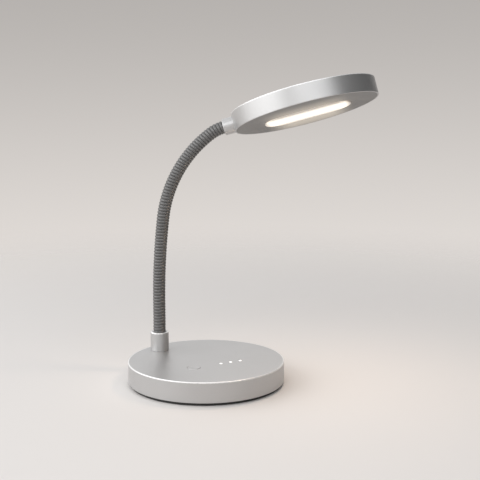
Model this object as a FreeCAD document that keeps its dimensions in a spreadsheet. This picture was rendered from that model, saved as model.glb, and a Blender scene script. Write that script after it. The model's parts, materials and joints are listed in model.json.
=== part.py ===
import FreeCAD, Part
import math
import os
import re
from FreeCAD import Placement, Rotation, Vector
from Sketcher import Constraint

# Gooseneck desk lamp: a weighted round base, a ribbed bendable neck and a flat round light head.
# Millimetres and degrees. Origin at the base's centre on the table, +Z up, -Y towards the user.

SIZES = {
    # base shell
    "base_diameter": 150.0,
    "base_height": 22.4,
    "wall_lift": 3.0,
    "shell_wall": 1.5,
    "shell_edge_round": 0.6,
    # bottom plate, foot and ballast
    "plate_clearance": 0.2,
    "bottom_plate_thick": 2.0,
    "foot_inset": 2.5,
    "foot_sink": 0.6,
    "ballast_margin": 4.5,
    "ballast_thick": 4.5,
    "ballast_slot_width": 22.0,
    "boss_inset": 13.0,
    "boss_diameter": 7.6,
    "boss_clearance": 0.3,
    "boss_count": 4.0,
    "boss_start_angle": 45.0,
    # fasteners
    "base_screw_diameter": 3.0,
    "base_screw_length": 9.0,
    "base_screw_head_diameter": 5.4,
    "base_screw_head_thick": 1.2,
    "board_screw_diameter": 2.0,
    "board_screw_length": 5.0,
    "board_screw_head_diameter": 3.6,
    "board_screw_head_thick": 1.2,
    "screw_clearance": 0.1,
    # battery
    "battery_length": 60.0,
    "battery_depth": 42.0,
    "battery_thick": 8.0,
    "battery_front_y": -3.0,
    "battery_pad_thick": 0.5,
    "battery_lead_diameter": 2.0,
    "battery_lead_x": 10.0,
    # circuit boards, hung from the shell's top
    "board_drop": 4.9,
    "board_thick": 1.6,
    "standoff_diameter": 5.0,
    "control_board_length": 76.0,
    "control_board_depth": 22.0,
    "control_screw_inset_x": 4.0,
    "control_screw_inset_y": 3.5,
    "power_board_length": 28.0,
    "power_board_depth": 21.0,
    "power_board_x": 2.0,
    "power_board_inset": 14.5,
    "power_screw_inset": 2.6,
    # charging port
    "port_width": 8.94,
    "port_height": 3.2,
    "port_depth": 7.35,
    "port_recess": 1.1,
    "port_clearance": 0.2,
    "port_shell_wall": 0.3,
    "port_tongue_width": 6.7,
    "port_tongue_thick": 0.7,
    "port_tongue_setback": 0.8,
    # controls row
    "controls_y": -19.0,
    "button_x": -22.8,
    "button_diameter": 12.0,
    "button_clearance": 0.25,
    "button_proud": 0.1,
    "button_edge": 0.3,
    "button_rest_gap": 0.15,
    "button_flange_width": 1.2,
    "button_flange_thick": 0.8,
    "button_travel": 0.5,
    "switch_width": 6.0,
    "switch_body_height": 2.6,
    "plunger_engagement": 1.5,
    "plunger_diameter": 3.1,
    "plunger_clearance": 0.1,
    "dome_diameter": 2.8,
    "dome_thick": 0.15,
    "dome_rest_gap": 0.1,
    "dome_clearance": 0.02,
    "dot_x": 6.0,
    "dot_pitch": 10.4,
    "dot_count": 3.0,
    "dot_diameter": 2.8,
    "indicator_height": 0.6,
    "indicator_length": 1.6,
    "indicator_width": 0.8,
    "indicator_gap": 0.3,
    # ribbon lead between the boards
    "ribbon_width": 8.0,
    "ribbon_thick": 0.3,
    "ribbon_foot": 4.0,
    # neck tube
    "neck_crest_diameter": 12.4,
    "neck_root_diameter": 10.9,
    "neck_bore_diameter": 5.6,
    "rib_pitch": 3.0,
    "link_rib_count": 6.0,
    "end_link_rib_count": 11.0,
    "link_count": 12.0,
    "link_gap": 0.94,
    "lead_diameter": 4.6,
    # neck route
    "neck_x": -24.0,
    "neck_inset": 20.5,
    "neck_heading_angle": -36.0,
    "bend_radius_low": 700.0,
    "low_bend_angle": 6.8,
    "bend_radius_mid": 122.0,
    "mid_bend_angle": 45.6,
    "bend_radius_top": 39.7,
    "top_bend_angle": 22.2,
    # base socket
    "socket_diameter": 18.1,
    "socket_height": 18.8,
    "socket_chamfer": 0.8,
    "socket_seat": 11.2,
    "socket_stem_diameter": 10.0,
    "socket_stem_length": 7.4,
    "fit_clearance": 0.05,
    "nut_across_flats": 14.0,
    "nut_thick": 3.6,
    "nut_flange_diameter": 18.0,
    "nut_flange_thick": 1.2,
    "grub_screw_diameter": 3.0,
    # base lead and its plug
    "lead_bend_radius": 4.8,
    "plug_length": 7.0,
    "plug_width": 7.0,
    "plug_height": 5.8,
    "plug_gap": 7.5,
    # head socket
    "head_socket_diameter": 16.0,
    "head_socket_length": 9.9,
    "head_socket_seat": 8.4,
    "head_seat_gap": 0.3,
    "head_socket_chamfer": 0.6,
    "head_stem_diameter": 8.0,
    "head_stem_length": 9.5,
    "head_nut_across_flats": 11.0,
    "head_nut_thick": 3.5,
    "head_nut_standoff": 0.35,
    # head shell
    "head_diameter": 139.4,
    "head_thick": 17.0,
    "head_top_wall": 1.2,
    "head_side_wall": 1.4,
    "head_edge_round": 0.7,
    "head_roll_angle": -9.5,
    "ledge_width": 2.0,
    "ledge_thick": 1.0,
    "underside_plate_thick": 1.5,
    "underside_plate_clearance": 0.15,
    # light window
    "window_length": 83.0,
    "window_width": 50.0,
    "window_shift": 1.0,
    "window_clearance": 0.2,
    "diffuser_proud": 1.2,
    "diffuser_flange_width": 2.5,
    "diffuser_flange_thick": 1.4,
    "reflector_wall": 2.6,
    "reflector_height": 8.0,
    # light board and heat path
    "led_board_overhang": 8.0,
    "led_board_thick": 1.6,
    "led_column_count": 8.0,
    "led_row_count": 3.0,
    "led_pitch_x": 9.2,
    "led_pitch_y": 11.0,
    "led_length": 3.5,
    "led_width": 2.8,
    "led_height": 0.8,
    "terminal_length": 7.0,
    "terminal_width": 7.0,
    "terminal_height": 4.9,
    "spreader_thick": 2.3,
    "spreader_margin": 2.0,
    "pad_inset": 8.0,
    "led_screw_x": 20.5,
    "led_screw_y": 19.5,
    "led_screw_diameter": 2.5,
    "led_screw_head_diameter": 4.4,
    "led_screw_head_thick": 1.4,
    "led_screw_length": 3.6,
}

doc = FreeCAD.newDocument("gooseneck_desk_lamp")
sheet = doc.addObject("Spreadsheet::Sheet", "sizes")
for row, (alias, number) in enumerate(SIZES.items(), start=1):
    sheet.set(f"A{row}", alias)
    sheet.set(f"B{row}", str(number))
    sheet.setAlias(f"B{row}", alias)
doc.recompute()

PIECES = {}


def size(alias):
    """The value of one cell of the sheet."""
    return float(sheet.get(alias))


def linked(text):
    """An expression in which each size is read from the sheet."""
    def with_sheet(word):
        return f"sizes.{word[0]}" if word[0] in SIZES else word[0]

    return re.sub(r"[a-z][a-z_]*", with_sheet, str(text))


def bind(item, **formulas):
    """Bind an object's properties to the sheet; x, y and z are its position."""
    for name, formula in formulas.items():
        path = f"Placement.Base.{name}" if name in ("x", "y", "z") else name
        item.setExpression(path, linked(formula))
    return item


def piece(item, label, place=None):
    """Name a finished piece and put it in its place."""
    item.Label = label
    if place is not None:
        item.Placement = place
    PIECES[label] = item
    return item


def cylinder(name, diameter, height, x="0", y="0", z="0"):
    post = doc.addObject("Part::Cylinder", name)
    return bind(post, Radius=f"({diameter}) / 2", Height=height, x=x, y=y, z=z)


def box(name, length, width, height, x="0", y="0", z="0"):
    """A block whose x and y are its centre and whose z is its underside."""
    block = doc.addObject("Part::Box", name)
    bind(block, Length=length, Width=width, Height=height)
    return bind(block, x=f"{x} - ({length}) / 2", y=f"{y} - ({width}) / 2", z=z)


def cut(name, base, *tools):
    """The base with each tool taken away in turn."""
    for index, tool in enumerate(tools, start=1):
        step = doc.addObject("Part::Cut", name if index == len(tools) else f"{name}_cut_{index}")
        step.Base = base
        step.Tool = tool
        base = step
    return base


def join(name, *shapes):
    fused = doc.addObject("Part::MultiFuse", name)
    fused.Shapes = list(shapes)
    fused.Refine = True
    return fused


def group(name, items):
    """Separate solids that share one node."""
    compound = doc.addObject("Part::Compound", name)
    compound.Links = list(items)
    return compound


def stadium(name, length, width, height, x="0", z="0"):
    """A straight-sided block with round ends, long way along X."""
    middle = box(f"{name}_middle", f"({length}) - ({width})", width, height, x=x, z=z)
    ends = [
        cylinder(f"{name}_end_{side}", width, height, x=f"{x} {sign} (({length}) - ({width})) / 2", z=z)
        for side, sign in (("rear", "-"), ("front", "+"))
    ]
    return join(name, middle, *ends)


def origin_plane(body, role):
    return next(feature for feature in body.Origin.OriginFeatures if feature.Role == role)


def sketch_on(body, name, role, lift=None):
    sketch = body.newObject("Sketcher::SketchObject", name)
    sketch.AttachmentSupport = [(origin_plane(body, role), "")]
    sketch.MapMode = "FlatFace"
    if lift is not None:
        sketch.setExpression("AttachmentOffset.Base.z", linked(lift))
    return sketch


def dimension(sketch, kind, *target, formula):
    """A driven constraint of a sketch, read from the sheet."""
    index = sketch.addConstraint(Constraint(kind, *target, 1.0))
    sketch.setExpression(f"Constraints[{index}]", linked(formula))


def outline(sketch, corners):
    """A closed outline of straight lines through the given corners."""
    count = len(corners)
    angles = [math.tau * index / count for index in range(count)]
    start = [Vector(math.cos(angle), math.sin(angle), 0) for angle in angles]
    for index in range(count):
        sketch.addGeometry(Part.LineSegment(start[index], start[(index + 1) % count]), False)
    for index in range(count):
        sketch.addConstraint(Constraint("Coincident", index, 2, (index + 1) % count, 1))
    for index, (across, up) in enumerate(corners):
        dimension(sketch, "DistanceX", -1, 1, index, 1, formula=across)
        dimension(sketch, "DistanceY", -1, 1, index, 1, formula=up)


def circle(sketch, diameter, x="0", y="0"):
    index = sketch.addGeometry(Part.Circle(Vector(1, 1, 0), Vector(0, 0, 1), 1), False)
    dimension(sketch, "Radius", index, formula=f"({diameter}) / 2")
    dimension(sketch, "DistanceX", -1, 1, index, 3, formula=x)
    dimension(sketch, "DistanceY", -1, 1, index, 3, formula=y)


def turned(name, corners):
    """A body turned about Z from a half section given as radius and height."""
    body = doc.addObject("PartDesign::Body", name)
    section = sketch_on(body, f"{name}_section", "XZ_Plane")
    outline(section, corners)
    turn = body.newObject("PartDesign::Revolution", f"{name}_turn")
    turn.Profile = section
    turn.ReferenceAxis = (section, ["V_Axis"])
    turn.Angle = 360
    doc.recompute()
    return body


def pad(body, name, sketch, length):
    feature = body.newObject("PartDesign::Pad", name)
    feature.Profile = sketch
    feature.setExpression("Length", linked(length))
    doc.recompute()
    return feature


def pocket(body, name, sketch, length):
    """A pocket that goes up from its sketch, checked to take material away."""
    before = body.Shape.Volume
    feature = body.newObject("PartDesign::Pocket", name)
    feature.Profile = sketch
    feature.Reversed = True
    feature.setExpression("Length", linked(length))
    doc.recompute()
    if body.Shape.Volume >= before:
        raise RuntimeError(f"{name} cuts nothing")
    return feature


def rim_edges(shape, radius, height):
    """The names of the round edges of this radius at this height."""
    found = []
    for index, edge in enumerate(shape.Edges, start=1):
        curve = edge.Curve
        if isinstance(curve, Part.Circle) and abs(curve.Radius - radius) < 1e-4:
            if abs(curve.Center.z - height) < 1e-4 and math.hypot(curve.Center.x, curve.Center.y) < 1e-4:
                found.append(f"Edge{index}")
    return found


def round_rim(body, name, radius, heights, rounding):
    """Round a body's outer rims."""
    base = body.Tip
    feature = body.newObject("PartDesign::Fillet", name)
    edges = [edge for height in heights for edge in rim_edges(base.Shape, radius, height)]
    feature.Base = (base, edges)
    feature.setExpression("Radius", linked(rounding))
    doc.recompute()


# Heights that several pieces share, as formulas of the sheet's sizes.
PLATE_TOP = "wall_lift + bottom_plate_thick"
BALLAST_TOP = "wall_lift + bottom_plate_thick + ballast_thick"
INNER_TOP = "base_height - shell_wall"
BOARD_TOP = "base_height - shell_wall - board_drop"
BOARD_UNDERSIDE = "base_height - shell_wall - board_drop - board_thick"
BASE_INNER_DIAMETER = "base_diameter - 2 * shell_wall"
FOOT_DIAMETER = "(base_diameter - 2 * foot_inset)"
NECK_Y = "(base_diameter / 2 - neck_inset)"
POWER_BOARD_Y = "(base_diameter / 2 - power_board_inset)"


def boss_places():
    """The centres of the bosses that take the bottom plate's screws, as formulas."""
    reach = "(base_diameter / 2 - boss_inset)"
    for index in range(int(size("boss_count"))):
        angle = f"(boss_start_angle + {index} * 360 / boss_count)"
        yield f"{reach} * cos({angle} * 1 deg)", f"{reach} * sin({angle} * 1 deg)"


def control_screw_places():
    for side in ("-", "+"):
        for row in ("-", "+"):
            x = f"0 {side} (control_board_length / 2 - control_screw_inset_x)"
            y = f"controls_y {row} (control_board_depth / 2 - control_screw_inset_y)"
            yield x, y


def power_screw_places():
    """The power board is held at two opposite corners."""
    for side, row in (("-", "+"), ("+", "-")):
        x = f"power_board_x {side} (power_board_length / 2 - power_screw_inset)"
        y = f"{POWER_BOARD_Y} {row} (power_board_depth / 2 - power_screw_inset)"
        yield x, y


def dot_places():
    for index in range(int(size("dot_count"))):
        yield f"dot_x + {index} * dot_pitch", "controls_y"


def base_shell():
    """Turned cover with bosses for the screws and holes for neck, button, lights and port."""
    body = turned("shell", [
        ("0", INNER_TOP),
        (f"({BASE_INNER_DIAMETER}) / 2", INNER_TOP),
        (f"({BASE_INNER_DIAMETER}) / 2", "wall_lift"),
        ("base_diameter / 2", "wall_lift"),
        ("base_diameter / 2", "base_height"),
        ("0", "base_height"),
    ])
    round_rim(body, "shell_rim", size("base_diameter") / 2, [size("base_height")], "shell_edge_round")

    bosses = sketch_on(body, "boss_sketch", "XY_Plane", PLATE_TOP)
    for x, y in boss_places():
        circle(bosses, "boss_diameter", x, y)
    pad(body, "bosses", bosses, f"({INNER_TOP}) - ({PLATE_TOP})")

    standoffs = sketch_on(body, "standoff_sketch", "XY_Plane", BOARD_TOP)
    for x, y in [*control_screw_places(), *power_screw_places()]:
        circle(standoffs, "standoff_diameter", x, y)
    pad(body, "standoffs", standoffs, "board_drop")

    top_holes = sketch_on(body, "top_hole_sketch", "XY_Plane", INNER_TOP)
    circle(top_holes, "socket_stem_diameter + 2 * fit_clearance", "neck_x", NECK_Y)
    circle(top_holes, "button_diameter + 2 * button_clearance", "button_x", "controls_y")
    for x, y in dot_places():
        circle(top_holes, "dot_diameter", x, y)
    pocket(body, "top_holes", top_holes, "shell_wall")

    boss_holes = sketch_on(body, "boss_hole_sketch", "XY_Plane", PLATE_TOP)
    for x, y in boss_places():
        circle(boss_holes, "base_screw_diameter + 2 * screw_clearance", x, y)
    pocket(body, "boss_holes", boss_holes, "base_screw_length - bottom_plate_thick + 1")

    board_holes = sketch_on(body, "board_hole_sketch", "XY_Plane", BOARD_TOP)
    for x, y in [*control_screw_places(), *power_screw_places()]:
        circle(board_holes, "board_screw_diameter + 2 * screw_clearance", x, y)
    pocket(body, "board_holes", board_holes, "board_screw_length - board_thick + 0.5")

    opening = doc.addObject("Part::Box", "port_opening")
    bind(opening, Length="port_width - port_height", Width="4 * shell_wall")
    bind(opening, Height="port_height + 2 * port_clearance")
    bind(opening, x="-(port_width - port_height) / 2", y="base_diameter / 2 - 3 * shell_wall")
    bind(opening, z=f"{BOARD_UNDERSIDE} - port_height - port_clearance")
    ends = []
    for side, sign in (("left", "-"), ("right", "+")):
        end = doc.addObject("Part::Cylinder", f"port_opening_{side}")
        end.Placement = Placement(Vector(), Rotation(Vector(1, 0, 0), -90))
        bind(end, Radius="port_height / 2 + port_clearance", Height="4 * shell_wall")
        bind(end, x=f"0 {sign} (port_width - port_height) / 2", y="base_diameter / 2 - 3 * shell_wall")
        bind(end, z=f"{BOARD_UNDERSIDE} - port_height / 2")
        ends.append(end)
    port_tool = join("port_cutter", opening, *ends)
    piece(cut("base_shell_cut", body, port_tool), "base_shell")


def bottom_plate():
    """Round plate with a shallow recess below for the foot pad and countersunk screw holes."""
    plate_diameter = f"{BASE_INNER_DIAMETER} - 2 * plate_clearance"
    disc = cylinder("plate_disc", plate_diameter, "bottom_plate_thick", z="wall_lift")
    recess_diameter = f"{FOOT_DIAMETER} + 2 * fit_clearance"
    recess = cylinder("plate_recess", recess_diameter, "foot_sink", z="wall_lift")
    holes = []
    for index, (x, y) in enumerate(boss_places()):
        shank = "base_screw_diameter + 2 * screw_clearance"
        head = "base_screw_head_diameter + 2 * screw_clearance"
        holes.append(cylinder(f"plate_hole_{index}", shank, "bottom_plate_thick", x, y, "wall_lift"))
        depth = "foot_sink + base_screw_head_thick"
        holes.append(cylinder(f"plate_counterbore_{index}", head, depth, x, y, "wall_lift"))
    piece(cut("bottom_plate_cut", disc, recess, *holes), "bottom_plate")


def foot_pad():
    """Round rubber pad that the lamp stands on."""
    piece(cylinder("foot_disc", FOOT_DIAMETER, "wall_lift + foot_sink"), "foot_pad")


def base_screws():
    """Flat-headed screws up through the bottom plate into the shell's bosses."""
    screws = []
    for index, (x, y) in enumerate(boss_places()):
        low = "wall_lift + foot_sink"
        head = cylinder(f"base_screw_head_{index}", "base_screw_head_diameter", "base_screw_head_thick",
                        x, y, low)
        shank = cylinder(f"base_screw_shank_{index}", "base_screw_diameter", "base_screw_length", x, y, low)
        recess = doc.addObject("Part::Prism", f"base_screw_recess_{index}")
        bind(recess, Circumradius="base_screw_head_diameter / 4.5", Height="base_screw_head_thick * 0.7")
        bind(recess, x=x, y=y, z=low)
        screws.append(cut(f"base_screw_{index}", join(f"base_screw_body_{index}", head, shank), recess))
    piece(group("base_screw_group", screws), "base_screws")


def ballast_plate():
    """Steel weight with holes for the bosses and a slot for the neck's nut and lead."""
    disc_diameter = f"{BASE_INNER_DIAMETER} - 2 * ballast_margin"
    disc = cylinder("ballast_disc", disc_diameter, "ballast_thick", z=PLATE_TOP)
    hole = "boss_diameter + 2 * boss_clearance"
    holes = [
        cylinder(f"ballast_hole_{index}", hole, "ballast_thick", x, y, PLATE_TOP)
        for index, (x, y) in enumerate(boss_places())
    ]
    reach = "plug_gap + plug_length + 4"
    slot_box = box("ballast_slot_box", reach, "ballast_slot_width", "ballast_thick",
                   f"neck_x + ({reach}) / 2", NECK_Y, PLATE_TOP)
    slot_end = cylinder("ballast_slot_end", "ballast_slot_width", "ballast_thick",
                        "neck_x", NECK_Y, PLATE_TOP)
    piece(cut("ballast_cut", disc, *holes, slot_box, slot_end), "ballast_plate")


def battery():
    middle_y = "battery_front_y + battery_depth / 2"
    pad_block = box("battery_pad_block", "battery_length - 6", "battery_depth - 6", "battery_pad_thick",
                    "0", middle_y, BALLAST_TOP)
    piece(pad_block, "battery_pad")
    cell = box("battery_cell", "battery_length", "battery_depth", "battery_thick",
               "0", middle_y, f"{BALLAST_TOP} + battery_pad_thick")
    soft = doc.addObject("Part::Fillet", "battery_rounded")
    soft.Base = cell
    doc.recompute()
    upright = [
        (index, 3.0, 3.0) for index, edge in enumerate(cell.Shape.Edges, start=1)
        if abs(edge.Vertexes[0].Z - edge.Vertexes[1].Z) > 1
    ]
    soft.Edges = upright
    piece(soft, "battery_pack")
    lead = doc.addObject("Part::Cylinder", "battery_wire")
    lead.Placement = Placement(Vector(), Rotation(Vector(1, 0, 0), -90))
    bind(lead, Radius="battery_lead_diameter / 2")
    bind(lead, Height=f"{POWER_BOARD_Y} - power_board_depth / 2 + 5 - battery_front_y - battery_depth")
    bind(lead, x="battery_lead_x", y="battery_front_y + battery_depth")
    bind(lead, z=f"{BOARD_UNDERSIDE} - battery_lead_diameter / 2")
    piece(lead, "battery_lead")


def boards():
    hole = "board_screw_diameter + 2 * screw_clearance"
    control = box("control_blank", "control_board_length", "control_board_depth", "board_thick",
                  "0", "controls_y", BOARD_UNDERSIDE)
    control_holes = [
        cylinder(f"control_hole_{index}", hole, "board_thick", x, y, BOARD_UNDERSIDE)
        for index, (x, y) in enumerate(control_screw_places())
    ]
    piece(cut("control_cut", control, *control_holes), "control_board")
    power = box("power_blank", "power_board_length", "power_board_depth", "board_thick",
                "power_board_x", POWER_BOARD_Y, BOARD_UNDERSIDE)
    power_holes = [
        cylinder(f"power_hole_{index}", hole, "board_thick", x, y, BOARD_UNDERSIDE)
        for index, (x, y) in enumerate(power_screw_places())
    ]
    piece(cut("power_cut", power, *power_holes), "power_board")

    screws = []
    for index, (x, y) in enumerate([*control_screw_places(), *power_screw_places()]):
        low = f"{BOARD_UNDERSIDE} - board_screw_head_thick"
        head = cylinder(f"board_screw_head_{index}", "board_screw_head_diameter", "board_screw_head_thick",
                        x, y, low)
        shank = cylinder(f"board_screw_shank_{index}", "board_screw_diameter", "board_screw_length", x, y,
                         BOARD_UNDERSIDE)
        screws.append(join(f"board_screw_{index}", head, shank))
    piece(group("board_screw_group", screws), "board_screws")


def charging_port():
    """Metal shell with a tongue inside, mouth towards +Y just inside the base wall."""
    back = "base_diameter / 2 - port_recess - port_depth"

    def rounded_bar(name, width, height, depth, shift):
        middle = doc.addObject("Part::Box", f"{name}_middle")
        bind(middle, Length=f"({width}) - ({height})", Width=depth, Height=height)
        bind(middle, x=f"-(({width}) - ({height})) / 2", y=f"{back} + {shift}")
        bind(middle, z=f"{BOARD_UNDERSIDE} - port_height / 2 - ({height}) / 2")
        ends = []
        for side, sign in (("left", "-"), ("right", "+")):
            end = doc.addObject("Part::Cylinder", f"{name}_{side}")
            end.Placement = Placement(Vector(), Rotation(Vector(1, 0, 0), -90))
            bind(end, Radius=f"({height}) / 2", Height=depth)
            bind(end, x=f"0 {sign} (({width}) - ({height})) / 2", y=f"{back} + {shift}")
            bind(end, z=f"{BOARD_UNDERSIDE} - port_height / 2")
            ends.append(end)
        return join(name, middle, *ends)

    outer = rounded_bar("port_outer", "port_width", "port_height", "port_depth", "0")
    inner = rounded_bar("port_inner", "port_width - 2 * port_shell_wall",
                        "port_height - 2 * port_shell_wall", "port_depth - 1", "1")
    tongue = doc.addObject("Part::Box", "port_tongue")
    bind(tongue, Length="port_tongue_width", Width="port_depth - port_tongue_setback - 0.5")
    bind(tongue, Height="port_tongue_thick", x="-port_tongue_width / 2", y=f"{back} + 0.5")
    bind(tongue, z=f"{BOARD_UNDERSIDE} - port_height / 2 - port_tongue_thick / 2")
    piece(join("port_joined", cut("port_shell", outer, inner), tongue), "usb_receptacle")


def button():
    """Push button: a flanged cap over a switch with a plunger and a sprung dome."""
    cap_thick = "(shell_wall + button_proud + button_rest_gap + button_flange_thick)"
    cap_low = f"base_height + button_proud - {cap_thick}"
    cap = turned("button_cap_body", [
        ("0", "0"),
        ("button_diameter / 2 + button_flange_width", "0"),
        ("button_diameter / 2 + button_flange_width", "button_flange_thick"),
        ("button_diameter / 2", "button_flange_thick"),
        ("button_diameter / 2", f"{cap_thick} - button_edge"),
        ("button_diameter / 2 - button_edge", cap_thick),
        ("0", cap_thick),
    ])
    bind(cap, x="button_x", y="controls_y", z=cap_low)
    piece(cap, "button_cap")

    bore_depth = "(plunger_engagement + button_travel)"
    dome_height = "(button_travel + dome_rest_gap)"
    well = f"{BOARD_TOP} + switch_body_height - {bore_depth}"
    block = box("switch_block", "switch_width", "switch_width", "switch_body_height",
                "button_x", "controls_y", BOARD_TOP)
    bore = cylinder("switch_bore", "plunger_diameter + 2 * plunger_clearance", bore_depth,
                    "button_x", "controls_y", well)
    piece(cut("switch_cut", block, bore), "switch_body")

    plunger_low = f"({well}) + {dome_height}"
    plunger = cylinder("plunger", "plunger_diameter", f"({cap_low}) - ({plunger_low})",
                       "button_x", "controls_y", plunger_low)
    piece(plunger, "switch_plunger")

    dome = turned("dome_body", [
        ("dome_diameter / 2 - dome_thick", "0"),
        ("dome_diameter / 2", "0"),
        ("dome_diameter / 5", f"{dome_height} - dome_clearance"),
        ("0", f"{dome_height} - dome_clearance"),
        ("0", f"{dome_height} - dome_clearance - dome_thick"),
        ("dome_diameter / 5 - dome_thick / 2", f"{dome_height} - dome_clearance - dome_thick"),
    ])
    bind(dome, x="button_x", y="controls_y", z=well)
    piece(dome, "switch_dome")


def indicators():
    """Three small lamps on the board, each under a clear pipe that ends flush in the shell's top."""
    chips = []
    pipes = []
    for index, (x, y) in enumerate(dot_places()):
        chips.append(box(f"indicator_{index}", "indicator_length", "indicator_width", "indicator_height",
                         x, y, BOARD_TOP))
        low = f"{BOARD_TOP} + indicator_height + indicator_gap"
        stem = cylinder(f"pipe_stem_{index}", "dot_diameter", f"base_height - ({low})", x, y, low)
        flange = cylinder(f"pipe_flange_{index}", "dot_diameter + 1.6", "1", x, y, f"{INNER_TOP} - 1")
        pipes.append(join(f"pipe_{index}", stem, flange))
    piece(group("indicator_group", chips), "indicator_leds")
    piece(group("pipe_group", pipes), "light_pipes")


def ribbon_lead():
    """Flat lead from the control board, over the battery, to the power board."""
    battery_top = f"{BALLAST_TOP} + battery_pad_thick + battery_thick"
    start = "controls_y + control_board_depth / 2 - ribbon_foot"
    end = f"{POWER_BOARD_Y} - power_board_depth / 2 + ribbon_foot"
    high = f"{battery_top} + 0.1"
    corners = [
        (start, BOARD_TOP),
        (f"{start} + ribbon_foot", BOARD_TOP),
        ("battery_front_y", high),
        ("battery_front_y + battery_depth + 1", high),
        (f"{end} - ribbon_foot", BOARD_TOP),
        (end, BOARD_TOP),
    ]
    top = [(across, f"{up} + ribbon_thick") for across, up in reversed(corners)]
    body = doc.addObject("PartDesign::Body", "ribbon_body")
    section = sketch_on(body, "ribbon_section", "YZ_Plane")
    outline(section, corners + top)
    strip = pad(body, "ribbon_strip", section, "ribbon_width")
    strip.Midplane = True
    piece(body, "ribbon_lead")


# The neck's route lies in one upright plane: a straight rise, then three arcs that lean it forwards.

def neck_arcs():
    return [
        (size("bend_radius_low"), size("low_bend_angle")),
        (size("bend_radius_mid"), size("mid_bend_angle")),
        (size("bend_radius_top"), size("top_bend_angle")),
    ]


def neck_length():
    ribs = 2 * size("end_link_rib_count") + (size("link_count") - 2) * size("link_rib_count")
    return ribs * size("rib_pitch")


def neck_rise():
    """Length of the straight rise: what the arcs and the head socket's seat leave of the neck."""
    bends = sum(radius * math.radians(angle) for radius, angle in neck_arcs())
    return neck_length() - bends - size("head_socket_seat")


def neck_point(length):
    """Point and lean of the neck's centre line at a length from its lower end, in the neck's own frame.

    X runs forwards, Z up, and the lean is the tangent's angle from level.
    """
    point = Vector(0, 0, min(length, neck_rise()))
    lean = 90.0
    left = length - neck_rise()
    for radius, angle in neck_arcs():
        if left <= 0:
            return point, lean
        turn = min(angle, math.degrees(left / radius))
        start = math.radians(lean)
        end = math.radians(lean - turn)
        across = radius * (math.sin(start) - math.sin(end))
        up = radius * (math.cos(end) - math.cos(start))
        point = point + Vector(across, 0, up)
        lean -= turn
        left -= math.radians(turn) * radius
    if left > 1e-9:
        point = point + Vector(math.cos(math.radians(lean)), 0, math.sin(math.radians(lean))) * left
    return point, lean


def neck_frame():
    """Placement of the neck's own frame: its lower end, turned to its heading."""
    rear = size("base_diameter") / 2 - size("neck_inset")
    height = size("base_height") + size("socket_height") - size("socket_seat")
    foot = Vector(size("neck_x"), rear, height)
    return Placement(foot, Rotation(Vector(0, 0, 1), size("neck_heading_angle")))


def ring(length, radius):
    """A circle square to the neck at a length along it, with a steady X axis across the neck's plane."""
    point, lean = neck_point(length)
    tangent = Vector(math.cos(math.radians(lean)), 0, math.sin(math.radians(lean)))
    place = Placement(point, Rotation(Vector(0, 1, 0), Vector(), tangent, "ZXY"))
    loop = Part.Wire([Part.makeCircle(radius)])
    loop.Placement = place
    return loop


def tube_through(stations):
    """A ruled solid through circles given as length and radius."""
    return Part.makeLoft([ring(length, radius) for length, radius in stations], True, True)


def link_spans():
    """The start and end of each link along the neck."""
    pitch = size("rib_pitch")
    count = int(size("link_count"))
    start = 0.0
    for index in range(count):
        ribs = size("end_link_rib_count") if index in (0, count - 1) else size("link_rib_count")
        yield start, start + ribs * pitch
        start += ribs * pitch


def rib_stations(start, end, low, high):
    """Four circles to a rib: root, crest, crest, root; the link's own ends are at low and high."""
    pitch = size("rib_pitch")
    root = size("neck_root_diameter") / 2
    crest = size("neck_crest_diameter") / 2
    stations = []
    for rib in range(round((end - start) / pitch)):
        at = start + rib * pitch
        stations += [
            (max(at + 0.05 * pitch, low), root),
            (at + 0.25 * pitch, crest),
            (at + 0.75 * pitch, crest),
            (min(at + 0.95 * pitch, high), root),
        ]
    return stations


def solid_piece(name, shape, label, place):
    """A piece with a shape of its own, placed after its shape is set."""
    feature = doc.addObject("Part::Feature", name)
    feature.Shape = shape
    return piece(feature, label, place)


def link_ends():
    """The trimmed ends of each link: half a gap off wherever two links meet."""
    count = int(size("link_count"))
    half = size("link_gap") / 2
    for index, (start, end) in enumerate(link_spans()):
        yield start, end, start + (half if index else 0), end - (half if index < count - 1 else 0)


def neck_links():
    pitch = size("rib_pitch")
    bore = size("neck_bore_diameter") / 2
    for index, (start, end, low, high) in enumerate(link_ends(), start=1):
        outside = tube_through(rib_stations(start, end, low, high))
        count = round((end - start) / pitch)
        between = [(start + step * pitch, bore) for step in range(1, count)]
        inside = tube_through([(low - pitch / 2, bore), *between, (high + pitch / 2, bore)])
        solid_piece(f"link_{index}", outside.cut(inside), f"neck_link_{index:02d}", neck_frame())


def lead_start_shape():
    """The lead from its plug in the base, round one bend and up the socket to the neck's lower end."""
    radius = size("lead_bend_radius")
    low = lead_run_height() - neck_frame().Base.z
    heading = Rotation(Vector(0, 0, 1), -size("neck_heading_angle"))
    out = heading.multVec(Vector(1, 0, 0))
    centre = Vector(0, 0, low + radius) + out * radius
    bend_top = Vector(0, 0, low + radius)
    bend_end = Vector(0, 0, low) + out * radius
    middle = centre - (out + Vector(0, 0, 1)) * (radius / math.sqrt(2))
    path = Part.Wire([
        Part.LineSegment(Vector(0, 0, 0), bend_top).toShape(),
        Part.Arc(bend_top, middle, bend_end).toShape(),
        Part.LineSegment(bend_end, Vector(0, 0, low) + out * size("plug_gap")).toShape(),
    ])
    section = Part.Wire([Part.makeCircle(size("lead_diameter") / 2, Vector(0, 0, 0), Vector(0, 0, 1))])
    return path.makePipeShell([section], True, False)


def lead_run_height():
    """Height of the lead's level run, at the middle of its plug."""
    board = size("base_height") - size("shell_wall") - size("board_drop") - size("board_thick")
    return board - size("plug_height") / 2 - 0.4


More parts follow.
